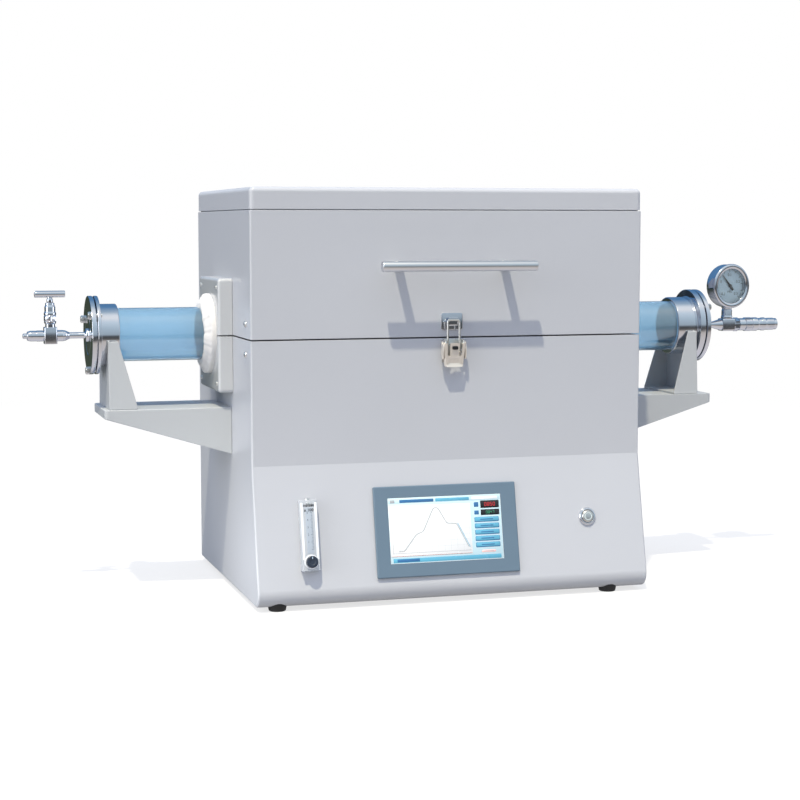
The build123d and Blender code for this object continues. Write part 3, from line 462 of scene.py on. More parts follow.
def on_panel(x, drop):
    """Place on the control panel, x mm across and drop mm down from the crease."""
    return Place(at(x, -drop * math.sin(LEAN), 1000 * CREASE_Z - drop * math.cos(LEAN)),
                 (0, -math.cos(LEAN), math.sin(LEAN)), (1, 0, 0))


# %% Shapes
class Shape:
    """Points (N, 3) and faces, each a row of point numbers, with an optional finish number."""

    def __init__(self, points, faces, finish=0):
        self.points = np.asarray(points, float).reshape(-1, 3)
        self.faces = [tuple(int(i) for i in f) for f in faces]
        self.finish = finish


def grid(points, closed_u=False, closed_v=False, finish=0, caps=(False, False)):
    """Surface over a (U, V) table of points. Neighbour rule: point (i, j) joins (i+1, j),
    (i+1, j+1) and (i, j+1); a closed direction wraps round. A cap closes the first or last row."""
    rows, columns = points.shape[:2]
    i = np.arange(rows if closed_u else rows - 1)[:, None]
    j = np.arange(columns if closed_v else columns - 1)[None, :]
    after_i, after_j = (i + 1) % rows, (j + 1) % columns
    quads = np.stack([i * columns + j, after_i * columns + j, after_i * columns + after_j,
                      i * columns + after_j], -1).reshape(-1, 4)
    faces = [tuple(q) for q in quads.tolist()]
    if caps[0]:
        faces.append(tuple(range(columns)))
    if caps[1]:
        faces.append(tuple(range((rows - 1) * columns + columns - 1, (rows - 1) * columns - 1, -1)))
    return Shape(points, faces, finish)


def eased(corners, radius, steps=4):
    """Round the inner corners of an open line of (a, b) points with arcs. At each corner the
    arc is the curve (1-t)^2 A + 2t(1-t) C + t^2 B between points set back along both sides."""
    corners = np.array(corners, float)
    before, middle, after = corners[:-2], corners[1:-1], corners[2:]
    radii = np.broadcast_to(np.asarray(radius, float), (len(middle),))
    reach_a = np.linalg.norm(before - middle, axis=1)
    reach_b = np.linalg.norm(after - middle, axis=1)
    back = np.minimum(radii, 0.49 * np.minimum(reach_a, reach_b))[:, None]
    a = middle + (before - middle) / reach_a[:, None] * back
    b = middle + (after - middle) / reach_b[:, None] * back
    t = np.linspace(0, 1, steps + 1)[None, :, None]
    arcs = (1 - t) ** 2 * a[:, None] + 2 * t * (1 - t) * middle[:, None] + t ** 2 * b[:, None]
    return np.vstack([corners[:1], arcs.reshape(-1, corners.shape[1]), corners[-1:]])


def turned(place, profile, segments=96, limit=None, finish=0, closed=False):
    """Surface of revolution. A (radius, height) profile in mm turns about the place's n:
    point(h, a) = r cos a u + r sin a v + h n. A limit, one radius per angle, cuts r down to
    the smaller of the two, which turns a round bar into a nut with its chamfer."""
    profile = np.asarray(profile, float) * MM
    angle = np.linspace(0, 2 * np.pi, segments, endpoint=False)
    radius = np.repeat(profile[:, :1], segments, 1)
    if limit is not None:
        radius = np.minimum(radius, limit(angle)[None, :] * MM)
    points = np.stack([radius * np.cos(angle), radius * np.sin(angle),
                       np.repeat(profile[:, 1:2], segments, 1)], -1)
    return grid(place(points), closed_u=closed, closed_v=True, finish=finish)


def hexagon(across):
    """Radius of a hexagon at each angle: half its width over the cosine of the angle from the
    middle of the nearest flat."""
    return lambda angle: across / 2 / np.cos((angle + np.pi / 6) % (np.pi / 3) - np.pi / 6)


CORNER_STEPS = 5


def rectangle(width, height, radius):
    """Outline of a rounded rectangle: four quarter circles about the corners' centres."""
    radius = max(radius, 0.01)
    sign = np.array([(1, 1), (-1, 1), (-1, -1), (1, -1)], float)
    start = np.array([0, 0.5, 1, 1.5])[:, None] * np.pi
    angle = start + np.linspace(0, np.pi / 2, CORNER_STEPS + 1)[None, :]
    centre = sign * (np.array([width, height]) / 2 - radius)
    ring = centre[:, None] + radius * np.stack([np.cos(angle), np.sin(angle)], -1)
    return ring.reshape(-1, 2)


def plate(place, width, height, low, high, corner=1.0, edge=0.5, finish=0, steps=3):
    """Plate with rounded corners and eased edges, in mm. Rings of the outline shrink by
    e(1 - cos t) while they rise by e sin t, and a face closes each end."""
    edge = min(edge, (high - low) / 2.001)
    t = np.linspace(0, np.pi / 2, steps + 1)
    inset = edge * (1 - np.sin(t))
    rise = edge * (1 - np.cos(t))
    insets = np.concatenate([inset, inset[::-1]])
    heights = np.concatenate([low + rise, high - rise[::-1]])
    rings = [np.c_[rectangle(width - 2 * i, height - 2 * i, corner - i),
                   np.full(4 * (CORNER_STEPS + 1), h)] for i, h in zip(insets, heights)]
    return grid(place(np.array(rings) * MM), closed_v=True, caps=(True, True), finish=finish)


def wire(points, radius, sides=16):
    """Round wire along a line of points in metres. Each ring is the circle
    r cos a p + r sin a q, with p and q square to the line's direction there."""
    along = np.gradient(points, axis=0)
    along /= np.linalg.norm(along, axis=1)[:, None]
    guide = np.linalg.svd(points - points.mean(0))[2][2]
    p = np.cross(along, guide)
    p /= np.linalg.norm(p, axis=1)[:, None]
    q = np.cross(along, p)
    angle = np.linspace(0, 2 * np.pi, sides, endpoint=False)
    ring = (points[:, None] + radius * MM * (np.cos(angle)[None, :, None] * p[:, None]
                                             + np.sin(angle)[None, :, None] * q[:, None]))
    return grid(ring, closed_v=True, caps=(True, True))


# %% Shapes to pieces
def piece(name, shapes, finish_names, body="furnace", instead_of=(), sharp=32.0):
    """Join shapes into one mesh object that rides on a body and may stand in for CAD parts."""
    shapes = list(shapes)
    names = finish_names.split()
    starts = np.cumsum([0] + [len(s.points) for s in shapes[:-1]])
    faces = [tuple(i + start for i in face) for s, start in zip(shapes, starts) for face in s.faces]
    mesh = bpy.data.meshes.new(name)
    mesh.from_pydata(np.vstack([s.points for s in shapes]).tolist(), [], faces)
    mesh.polygons.foreach_set("material_index", np.repeat(
        [s.finish for s in shapes], [len(s.faces) for s in shapes]).astype(np.int32))
    cleaned = bmesh.new()
    cleaned.from_mesh(mesh)
    bmesh.ops.remove_doubles(cleaned, verts=cleaned.verts, dist=2e-6)
    bmesh.ops.recalc_face_normals(cleaned, faces=cleaned.faces)
    cleaned.to_mesh(mesh)
    cleaned.free()
    mesh.polygons.foreach_set("use_smooth", np.ones(len(mesh.polygons), bool))
    mesh.set_sharp_from_angle(angle=math.radians(sharp))
    for finish_name in names:
        mesh.materials.append(finishes[finish_name])
    thing = add_object(name, mesh)
    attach(thing, body)
    if instead_of:
        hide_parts(*instead_of.split())
    print(f"{name}: {len(mesh.polygons)} faces on {body}")
    return thing


def lettering(place, text, size, finish=0, bold=0.0):
    """Words or numbers as a flat shape, size mm high, lying 0.05 mm over a place. Bold, in mm,
    swells every stroke."""
    curve = bpy.data.curves.new("lettering", "FONT")
    curve.body, curve.size, curve.align_x, curve.align_y = text, size * MM, "CENTER", "CENTER"
    curve.extrude, curve.offset = 0.02 * MM, bold * MM
    curve.resolution_u = 3
    thing = add_object("lettering", curve)
    mesh = bpy.data.meshes.new_from_object(thing.evaluated_get(
        bpy.context.evaluated_depsgraph_get()))
    points = np.zeros(3 * len(mesh.vertices))
    mesh.vertices.foreach_get("co", points)
    points = points.reshape(-1, 3) + (0, 0, 0.05 * MM)
    faces = [tuple(p.vertices) for p in mesh.polygons]
    bpy.data.objects.remove(thing)
    bpy.data.meshes.remove(mesh)
    return Shape(place(points), faces, finish)


# %% [markdown]
# ## Fasteners
# Pan-head screws with a cross recess close the sheets, and hexagon bolts clamp the flanges.
# A screw head is turned from an eased dome; its cross recess is painted shade, two thin dark bars let
# into it.


# %% Fastener helpers
def screw(place, head, rise):
    """Pan-head screw: an eased dome, with its cross recess as painted shade: two dark bars on top."""
    dome = eased([(head, -0.4), (head, rise * 0.45), (head * 0.62, rise), (0, rise)], head * 0.4)
    # The cross recess is painted shade: two dark bars lying on the dome, not a cut.
    bars = [plate(Place(place(np.zeros(3)), place.n, place.u * math.cos(a)
                        + place.v * math.sin(a)), head * 1.05, head * 0.24, rise - 0.6,
                  rise + 0.04, corner=0.1, edge=0.02, finish=1) for a in (0.4, 0.4 + math.pi / 2)]
    return [turned(place, dome, 24)] + bars


def rim_radius(across):
    """Largest radius of a hexagon's bar: its corners, with 0.2 mm to spare."""
    return across / 2 / math.cos(math.pi / 6) + 0.2


def bolt(place, across, height):
    """Hexagon head: a cone-topped bar cut down to a hexagon."""
    rim = rim_radius(across)
    head = [(0, 0), (rim, 0), (rim, height - 1.2), (across / 2 * 0.93, height), (0, height)]
    return turned(place, head, 72, hexagon(across))


def rivet(x, z):
    """Low domed rivet in the latch's plates."""
    return turned(facing_out(x, -1.9, z), eased([(2.6, 0), (2.6, 0.6), (0, 1.3)], 0.5, 3), 24)


# %% [markdown]
# ## The work tube and its fibre rings
# The tube is fused quartz, seen from outside as a pale blue glaze with soft bands along its
# length; the blue in its colour is a painted reflection of sky. It is turned from its wall's
# outline, so its ends are closed and its edges are fire polished. The fibre rings that close
# the gap round it are turned too, and then their outer faces are made uneven by a few waves
# round the ring.

# %% Work tube and rings
TUBE_R, TUBE_WALL, TUBE_HALF = 40.0, 3.0, 492.5
middle = tube_end(1, 0)
wall = [(TUBE_R - TUBE_WALL, -TUBE_HALF), (TUBE_R - 1.5, -TUBE_HALF), (TUBE_R, -TUBE_HALF + 1.2),
        (TUBE_R, TUBE_HALF - 1.2), (TUBE_R - 1.5, TUBE_HALF), (TUBE_R - TUBE_WALL, TUBE_HALF)]
piece("quartz_tube", [turned(middle, wall, 128, closed=True)], "work_tube",
      instead_of="work_tube")

RING_OUT, RING_IN, RING_PROUD, RING_BACK, PORT_DEPTH, AROUND = 60.5, 40.3, 9.0, 17.7, 22, 192
ring_line = eased([(RING_IN, -RING_BACK), (RING_OUT, -RING_BACK), (RING_OUT, RING_PROUD - 2),
                   (RING_OUT - 7, RING_PROUD + 1), (RING_IN + 7, RING_PROUD + 6),
                   (RING_IN, RING_PROUD + 6)], [0.6, 2.5, 3.0, 3.0], 5)
port_ends = [Place((s * (HALF_CASE + PORT_DEPTH * MM) + CASE_X, AXIS_Y, AXIS_Z), (s, 0, 0),
                   (0, 1, 0)) for s in SIDES]
rings = [turned(p, ring_line, AROUND, closed=True) for p in port_ends]
chance = np.random.default_rng(11)
around = np.linspace(0, 2 * np.pi, AROUND, endpoint=False)
for ring, p in zip(rings, port_ends):
    table = ring.points.reshape(len(ring_line), AROUND, 3)
    for k in (3, 5, 9, 17, 31, 47):
        swing = np.sin(k * around + chance.uniform(0, 6.28, (len(ring_line), 1)) * 0.15 + k * k)
        table += (swing * (ring_line[:, 1:] > 0) * 0.7 * MM / k ** 0.35)[..., None] * p.n
piece("fibre_rings", rings, "fibre", instead_of="port_rings")

# %% [markdown]
# ## Vacuum flanges
# Each tube end carries a hub with a disc, an O-ring in the joint, and a clamp plate with the
# gas pipe welded in. Their reflections are what makes them look machined, so they are turned
# with eased edges and a fine groove in the face, not left as flat facets.

# %% Flanges, seals and end plates
JOINT_AT = 489.5
HUB_AT, DISC_AT = {-1: 456.0, 1: 446.0}, {-1: 484.0, 1: 479.5}
HUB_R, DISC_R, BORE_R, SEAT_R, SEAT_DEPTH = 46.5, 58.75, 40.3, 45.3, 8.0


def hub_line(side):
    """Outline of a hub and its disc, from the hub's free end to the joint."""
    hub, disc = DISC_AT[side] - HUB_AT[side], JOINT_AT - HUB_AT[side]
    outside = eased([(BORE_R, 0), (HUB_R, 0), (HUB_R, hub), (DISC_R, hub), (DISC_R, disc),
                     (SEAT_R, disc)], [2.0, 1.6, 0.9, 1.8], 4)
    inside = [(SEAT_R, disc - SEAT_DEPTH), (BORE_R, disc - SEAT_DEPTH)]
    return np.vstack([outside, inside])


piece("flange_hubs", [turned(tube_end(s, HUB_AT[s]), hub_line(s), 128, closed=True)
                      for s in SIDES],
      "polished_steel", instead_of="inner_flanges")

SEAL_R, SEAL_WIRE, SEAL_BACK = 42.65, 2.5, 5.5
seal_angle = np.linspace(0, 2 * np.pi, 16, endpoint=False)
seal = np.c_[SEAL_R + SEAL_WIRE * np.cos(seal_angle), SEAL_WIRE * np.sin(seal_angle)]
piece("joint_seals", [turned(tube_end(s, JOINT_AT - SEAL_BACK), seal, closed=True) for s in SIDES],
      "seal_rubber", instead_of="seal_rings")

PLATE_AT = JOINT_AT + 1.5
PIPE_R, PIPE_BORE = 4.6, 3.6


def clamp_line(pipe_end):
    """Outline of a clamp plate: spigot, disc, weld boss and pipe."""
    length = pipe_end - PLATE_AT
    recess = TUBE_HALF - PLATE_AT + 1.5
    return np.vstack([
        [(PIPE_BORE, recess), (40.4, recess), (40.4, -4), (45.0, -4)],
        eased([(45.0, -4), (45.0, 0), (DISC_R, 0), (DISC_R, 7), (30, 7), (29.2, 6.4), (28.4, 7),
               (10, 7), (10, 10.5), (PIPE_R, 12), (PIPE_R, length)],
              [0.2, 1.8, 0.9, 0.2, 0.3, 0.2, 1.2, 1.5, 1.2], 3)[1:],
        [(PIPE_BORE, length)]])


for s, side, pipe_end in ((-1, "left", 535.0), (1, "right", 520.0)):
    piece(f"{side}_clamp_plate", [turned(tube_end(s, PLATE_AT), clamp_line(pipe_end), 128,
                                         closed=True)],
          "polished_steel", instead_of=f"{side}_end_plate")

# %% Flange bolts
BOLT_CIRCLE, BOLT_R, BOLT_LENGTH, FIRST_BOLT = 53.0, 3.0, 16.0, {-1: 96, 1: 24}
heads = []
for s in SIDES:
    for i in range(3):
        turn = math.radians(120 * i + FIRST_BOLT[s])
        spot = tube_end(s, PLATE_AT + 7).moved(BOLT_CIRCLE * math.cos(turn),
                                               BOLT_CIRCLE * math.sin(turn))
        heads += [bolt(spot, 10, 5),
                  turned(spot, [(0, -BOLT_LENGTH), (BOLT_R, -BOLT_LENGTH), (BOLT_R, 0)], 24)]
piece("clamp_bolts", heads, "bright_steel", instead_of="flange_bolts")

# %% [markdown]
# ## Gas train, left: needle valve
# A square body with a turned union on its right and a stub on its left, a stepped bonnet with
# a hexagon nut, and a T-bar to turn it. A thread is a row of fine ridges in the outline.


# %% Valve
def ridges(radius, low, high, pitch=1.0, depth=0.35):
    """Zigzag outline of a thread between two heights."""
    heights = np.arange(low, high, pitch / 2)
    return np.c_[radius - depth * (np.arange(len(heights)) % 2), heights]


VALVE_X, VALVE_WIDTH, T_BAR_Z, T_BAR_HALF = -560.5, 19.0, 449, 22.5
up = Place(at(VALVE_X, LINE_Y, LINE_Z), (0, 0, 1), (1, 0, 0))
body_shapes = [plate(up, VALVE_WIDTH, VALVE_WIDTH, -12, 13, corner=2.4, edge=0.9)]
right = on_line(VALVE_X + VALVE_WIDTH / 2)
left = on_line(VALVE_X - VALVE_WIDTH / 2, -1)


def nut_line(across, length, inner):
    """Outline of a nut that is chamfered at both ends."""
    rim = rim_radius(across)
    return [(inner, 0), (across * 0.47, 0), (rim, 1.4), (rim, length - 1.4),
            (across * 0.47, length), (inner, length)]


union = eased([(PIPE_BORE, 0), (8.3, 0), (8.3, 9.5), (7.9, 10), (7.9, 12), (PIPE_R + 0.2, 18.5),
               (PIPE_BORE, 18.5)], [0.8, 0.3, 0.3, 0.8, 0.5], 3)
body_shapes.append(turned(right, union, 64, closed=True))
piece("needle_valve_body", body_shapes, "polished_steel", instead_of="valve_body")

bonnet_line = np.vstack([
    [(3.0, 13), (7.2, 13), (7.2, 17.5), (8.8, 19), (8.8, 21)], ridges(8.9, 21.3, 31),
    eased([(9.0, 31.4), (9.0, 34), (8.0, 36), (8.0, 43), (6.6, 46), (6.6, 49), (3.0, 49)], 0.7, 3),
    [(3.0, 33)]])
piece("needle_valve_bonnet", [turned(up, bonnet_line, 64, closed=True),
                              turned(up.moved(n=21), nut_line(17.5, 9, 7), 72, hexagon(17.5),
                                     closed=True)],
      "polished_steel", instead_of="valve_bonnet")

bar_place = Place(at(VALVE_X, LINE_Y, T_BAR_Z), (1, 0, 0), (0, 1, 0))
bar_line = eased([(0, -T_BAR_HALF), (5, -T_BAR_HALF), (5, T_BAR_HALF), (0, T_BAR_HALF)], 1.2, 5)
stem_line = eased([(0, 34.2), (2.93, 34.2), (2.93, 49.3), (4.6, 49.4), (4.6, 54), (3.6, 56),
                   (3.6, 62)], 0.5, 3)
piece("valve_t_bar", [turned(bar_place, bar_line, 48), turned(up, stem_line, 48)],
      "polished_steel", body="valve_handle", instead_of="valve_handle")

stub_line = eased([(2.6, 0), (7.6, 0), (8.2, 2), (8.2, 10), (7.9, 11), (7.9, 20), (6.6, 24.5),
                   (3.9, 25), (3.9, 30.2), (2.6, 31)], [0.4, 0.6, 0.4, 0.4, 1.6, 0.8, 0.3, 0.5], 3)
piece("inlet_stub", [turned(left, stub_line, 64, closed=True)],
      "polished_steel", instead_of="gas_stub")

# %% [markdown]
# ## Gas train, right: tee, outlet and pressure gauge
# The tee is a block with eased edges and a hexagon nut before the outlet; the gauge stands on
# a short ringed neck. The gauge case is a deep turned can with a rolled bezel, and its dial
# is turned a little outwards.

# %% Tee and outlet
TEE_AT, GAUGE_X, GAUGE_Z, OUTLET_AT = 522, 547, 451, 568
tee_start = on_line(TEE_AT)
neck = Place(at(GAUGE_X, LINE_Y, LINE_Z), (0, 0, 1), (1, 0, 0))
throat = eased([(PIPE_BORE, -9), (PIPE_R + 0.4, -9), (PIPE_R + 0.6, -2), (9.2, 12), (9.6, 15),
                (PIPE_BORE, 15)], [0.3, 1.5, 1.5, 0.4], 4)
tee_shapes = [plate(tee_start, 20.5, 20.5, 14, 36, corner=2.6, edge=1.0),
              turned(tee_start, throat, 64, closed=True),
              turned(tee_start.moved(n=36), nut_line(20, 10, PIPE_BORE), 72, hexagon(20),
                     closed=True),
              turned(neck, eased([(2, 10), (9.4, 10), (9.4, 13), (8.6, 15), (8.6, 24), (7.9, 25),
                                  (7.9, 27), (8.6, 28), (8.6, 33), (2, 33)], 0.5, 2), 64,
                     closed=True)]
piece("gauge_tee_block", tee_shapes, "polished_steel", instead_of="gauge_tee")

outlet = on_line(OUTLET_AT)
outlet_line = np.vstack([
    [(5.0, 56), (0.01, 56), (0.01, 0), (10.2, 0), (10.2, 10)], ridges(11.4, 11, 23),
    eased([(10.4, 24), (11.2, 25), (11.2, 33), (10.0, 35), (10.0, 41), (10.9, 42), (10.9, 47),
           (9.8, 49.5), (9.8, 53)], 0.5, 2),
    ridges(10.1, 54, 64), eased([(9.4, 65), (9.4, 68.6), (5.0, 69.2)], 0.5, 2)])
piece("outlet_coupling", [turned(outlet, outlet_line, 64, closed=True)],
      "polished_steel", instead_of="outlet_connector")

# %% Gauge case, bezel, glass and dial
GAUGE_TURN = math.radians(11)
gauge = Place(at(GAUGE_X, LINE_Y, GAUGE_Z), (math.sin(GAUGE_TURN), -math.cos(GAUGE_TURN), 0),
              (math.cos(GAUGE_TURN), math.sin(GAUGE_TURN), 0))
can = np.vstack([eased([(0, -14), (31, -14), (35.4, -9), (35.4, 8.1), (32.5, 8.1)],
                       [3.0, 4.0, 0.4], 5),
                 [(32.5, 5), (30.2, 5), (30.2, -12.5), (0, -12.5)]])
piece("gauge_can", [turned(gauge, can, 96)], "polished_steel", instead_of="gauge_case")
rolled = eased([(32.4, 8), (35.6, 8), (36.4, 9), (36.4, 12), (34.6, 14), (31.0, 14), (28.6, 12.6),
                (28.6, 11.6), (32.4, 11.6)],
               [0.4, 0.6, 1.4, 1.6, 1.2, 0.8, 0.3], 5)
piece("gauge_rolled_bezel", [turned(gauge, rolled, 128, closed=True)], "polished_steel",
      instead_of="gauge_bezel")
pane = eased([(0, 10), (32.1, 10), (32.1, 11.4), (0, 11.4)], 0.3, 3)
piece("gauge_pane", [turned(gauge, pane, 96)], "clear_glass", instead_of="gauge_glass")

DIAL_TOP, DIAL_EDGE = 6.0, 27.0
dial_disc = [(1.1, DIAL_TOP - 1), (32.0, DIAL_TOP - 1), (32.0, DIAL_TOP - 0.1),
             (31.8, DIAL_TOP), (1.1, DIAL_TOP)]


def dial_bar(angle, inner, outer, width):
    """A printed mark along a radius of the dial."""
    face = gauge.moved((inner + outer) / 2 * math.cos(angle), (inner + outer) / 2 * math.sin(angle))
    ray = gauge.u * math.cos(angle) + gauge.v * math.sin(angle)
    return plate(Place(face.o, gauge.n, ray), outer - inner, width, DIAL_TOP - 0.05,
                 DIAL_TOP + 0.06, corner=0.05, edge=0.01, finish=1, steps=1)


SCALE_START, SCALE_SWEEP, SCALE_STEPS = math.radians(225), math.radians(-270), 10
marks = []
for k in range(5 * SCALE_STEPS + 1):
    turn = SCALE_START + SCALE_SWEEP * k / (5 * SCALE_STEPS)
    long = k % 5 == 0
    length, width = (4.4, 0.8) if long else (2.4, 0.34)
    marks.append(dial_bar(turn, DIAL_EDGE - length, DIAL_EDGE, width))
arc_turn = SCALE_START + SCALE_SWEEP * np.linspace(0, 1, 120)
arc = np.stack([np.stack([r * np.cos(arc_turn), r * np.sin(arc_turn),
                          np.full(120, DIAL_TOP + 0.05)], -1) for r in (DIAL_EDGE, DIAL_EDGE + 0.35)])
marks.append(grid(gauge(arc * MM), finish=1))
for k, number in enumerate(("-0.1", "0", "0.1", "0.2", "0.3")):
    turn = SCALE_START + SCALE_SWEEP * k / 4
    marks.append(lettering(gauge.moved(18 * math.cos(turn), 18 * math.sin(turn), DIAL_TOP),
                           number, 6.4, finish=1))
marks.append(lettering(gauge.moved(0, -9.5, DIAL_TOP), "MPa", 5.0, finish=1))
piece("gauge_face", [turned(gauge, dial_disc, 96, closed=True)] + marks,
      "dial_white needle_black", instead_of="gauge_dial", sharp=50)

NEEDLE = math.radians(130)
needle_place = Place(gauge.o, gauge.n, gauge.u * math.cos(NEEDLE) + gauge.v * math.sin(NEEDLE))
reach = np.linspace(0, 1, 24)
half_width = np.interp(reach, [0, 0.18, 0.24, 0.3, 0.95, 1], [2.0, 2.2, 1.2, 1.7, 0.5, 0.2])
along = -9 + 32 * reach
blade = np.stack([np.stack([along, side * half_width, np.full(24, DIAL_TOP + h)], -1)
                  for side, h in ((-1, 1.6), (-1, 2.2), (1, 2.2), (1, 1.6))])
pivot = eased([(0, DIAL_TOP - 4), (0.95, DIAL_TOP - 4), (0.95, DIAL_TOP + 1.2), (3, DIAL_TOP + 1.2),
               (3, DIAL_TOP + 2.8), (1.4, DIAL_TOP + 3.4), (0, DIAL_TOP + 3.4)], 0.3, 3)
piece("gauge_pointer", [grid(needle_place(blade * MM), closed_u=True), turned(gauge, pivot, 32)],
      "needle_black", body="gauge_needle", instead_of="gauge_needle")

# %% [markdown]
# ## Case edges
# Folded sheet never ends in a knife edge. The case's shells are copied, welded and given a
# narrow bevel on their sharp edges, so each fold and the lid line catch a thin line of light.

# %% Softened shells
LONG_EDGE, LIP_TOP_Z = 0.3, FOOT_Z + 60 * MM  # in metres


def softened(name, node, width, finish_name, body="furnace", crease=8.0):
    """A welded copy of a CAD part. Edges sharper than 40 degrees, and long ones over the
    crease angle, carry a bevel weight (a small one along the lid line, and none in the rolled
    lower edge); face-area weighting then keeps the sheets flat."""
    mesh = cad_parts[node].data.copy()
    mesh.name = name
    welded = bmesh.new()
    welded.from_mesh(mesh)
    bmesh.ops.remove_doubles(welded, verts=welded.verts, dist=1e-6)
    bmesh.ops.dissolve_limit(welded, angle_limit=math.radians(0.5), verts=welded.verts,
                             edges=welded.edges)
    weight = welded.edges.layers.float.new("bevel_weight_edge")
    folds = 0
    for edge in welded.edges:
        bend = math.degrees(edge.calc_face_angle(0.0))
        height = (edge.verts[0].co.z + edge.verts[1].co.z) / 2
        if bend > 40 or (bend > crease and edge.calc_length() > LONG_EDGE
                         and height > LIP_TOP_Z):
            edge[weight] = min(1.0, 0.7 / width) if abs(height - AXIS_Z) < 2 * MM else 1.0
            folds += 1
    welded.to_mesh(mesh)
    welded.free()
    mesh.polygons.foreach_set("use_smooth", np.ones(len(mesh.polygons), bool))
    mesh.materials.clear()
    mesh.materials.append(finishes[finish_name])
    thing = add_object(name, mesh)
    bevel = thing.modifiers.new("eased", "BEVEL")
    bevel.width, bevel.segments, bevel.limit_method = width * MM, 3, "WEIGHT"
    flat = thing.modifiers.new("flat", "WEIGHTED_NORMAL")
    flat.weight, flat.keep_sharp = 100, True
    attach(thing, body)
    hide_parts(node)
    print(f"{name}: {len(mesh.polygons)} faces, {folds} folds")
    return thing


base_case = softened("base_case", "base_shell", 0.7, "case_paint")
softened("lid_case", "lid_shell", 0.7, "case_paint", "lid")
softened("lid_top", "lid_cap", 0.7, "case_paint", "lid")
softened("arm_left", "left_arm", 1.3, "arm_paint")
softened("arm_right", "right_arm", 1.3, "arm_paint")
softened("stand_left", "left_pedestal", 1.2, "arm_paint")
softened("stand_right", "right_pedestal", 1.2, "arm_paint")
softened("bezel_frame", "touch_bezel", 0.8, "bezel_plastic")
softened("port_caps_low", "lower_port_covers", 2.6, "port_paint")
softened("port_caps_high", "upper_port_covers", 2.6, "port_paint", "lid")
softened("hinge_leaves_base", "base_hinges", 0.4, "hinge_steel")
softened("hinge_leaves_lid", "lid_hinges", 0.4, "hinge_steel", "lid")

# The base's lower lip hangs a little below the floor pan and hides the tops of the feet. Its
# points slide down in the plane of each wall: the front ones follow the leaning panel.
LIP_DROP, LIP_BLEND = 5.5 * MM, 30 * MM
points = np.zeros(3 * len(base_case.data.vertices))
base_case.data.vertices.foreach_get("co", points)
points = points.reshape(-1, 3)
share = np.clip(1 - (points[:, 2] - FOOT_Z) / LIP_BLEND, 0, 1)
leaning = points[:, 1] < FRONT_Y - 20 * MM
points[:, 2] -= LIP_DROP * share
points[leaning, 1] -= LIP_DROP * math.tan(LEAN) * share[leaning]
base_case.data.vertices.foreach_set("co", points.ravel())
print("lip points:", int((share > 0).sum()), "of", len(points))

# %% [markdown]
# ## Handle and feet
# The handle is a satin bar on two posts, eased at both ends. The feet are moulded buffers
# with a rounded lower edge.

# %% Handle and feet
HANDLE_Z, HANDLE_OUT, HANDLE_HALF, HANDLE_R, POST_X = 492.0, 42.0, 117.5, 7.6, 81.5
bar_place = Place(at(0, -HANDLE_OUT, HANDLE_Z), (1, 0, 0), (0, 0, 1))
grip = eased([(0, -HANDLE_HALF), (HANDLE_R, -HANDLE_HALF), (HANDLE_R, HANDLE_HALF),
              (0, HANDLE_HALF)], 1.8, 6)
piece("handle_grip", [turned(bar_place, grip, 64)],
      "handle_metal", body="lid", instead_of="handle_bar")
post_line = eased([(0, 0), (8, 0), (8, 2.5), (6.6, 4.0), (6.6, HANDLE_OUT - 4),
                   (0, HANDLE_OUT - 4)], [0.3, 1.0, 2.0, 0.1], 5)
piece("handle_posts", [turned(facing_out(x, 0, HANDLE_Z), post_line, 48)
                       for x in (-POST_X, POST_X)],
      "handle_metal", body="lid", instead_of="handle_legs")

FOOT_R = 14.0
foot_low, foot_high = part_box("feet")
buffers = []
for x in (foot_low.x + FOOT_R * MM, foot_high.x - FOOT_R * MM):
    for y in (foot_low.y + FOOT_R * MM, foot_high.y - FOOT_R * MM):
        buffers.append(turned(Place((x, y, 0), (0, 0, 1), (1, 0, 0)), eased(
            [(0, 0.6), (8, 0.6), (9, 0), (12.2, 0), (FOOT_R, 9), (FOOT_R, 12), (0, 12)],
            [0.3, 0.3, 1.8, 1.0, 0.3], 4), 48))
piece("rubber_feet", buffers, "foot_rubber", instead_of="feet")

# %% [markdown]
# ## Toggle latch
# The lever is pressed from thin steel: narrower towards its tip, with rolled sides, a sunk
# field and two slots. The bail is one bent wire, and the keeper a hook on the lid. They stand
# in for plainer solids of about the same size. Lever and bail ride on bodies of their own.

# %% Latch lever
PIVOT_Z, PIVOT_OUT = 378.0, 11.0
BAIL_Z = PIVOT_Z - 12
LEVER_TOP_Z, LEVER_TIP_Z = PIVOT_Z + 1.5, PIVOT_Z - 33.5


def pressing(high, low, left, right):
    """Part of the lever's sheet. Down runs 0 to 1 from the top edge to the tip and across runs
    -1 to 1 between the rolled sides, so several parts meet on one curved surface."""
    down = np.linspace(high, low, 25)[:, None]
    across = np.linspace(left, right, 33)[None, :]
    half_wide = (18 - 3.5 * down) * np.sqrt(1 - 0.22 * ((down - 0.86) / 0.14).clip(0) ** 2)
    height = LEVER_TOP_Z - (LEVER_TOP_Z - LEVER_TIP_Z) * down
    sheet_line = -19.0 + 4.5 * np.interp(down, [0, 0.15, 0.9, 1], [0, 0.25, 1, 0.7])
    rolled_side = 3.2 * ((np.abs(across) - 0.86) / 0.14).clip(0) ** 2
    sunk = 0.9 * np.clip((0.62 - np.abs(across)) / 0.1, 0, 1) * np.clip(
        np.minimum(down - 0.6, 0.9 - down) / 0.06, 0, 1)
    front = np.stack(np.broadcast_arrays(across * half_wide, sheet_line + rolled_side + sunk,
                                         height), -1)
    shell = np.concatenate([front, front[:, ::-1] + (0, 1.2, 0)], 1)
    return grid((shell * MM) + (CASE_X, FRONT_Y, 0), closed_v=True, caps=(True, True))


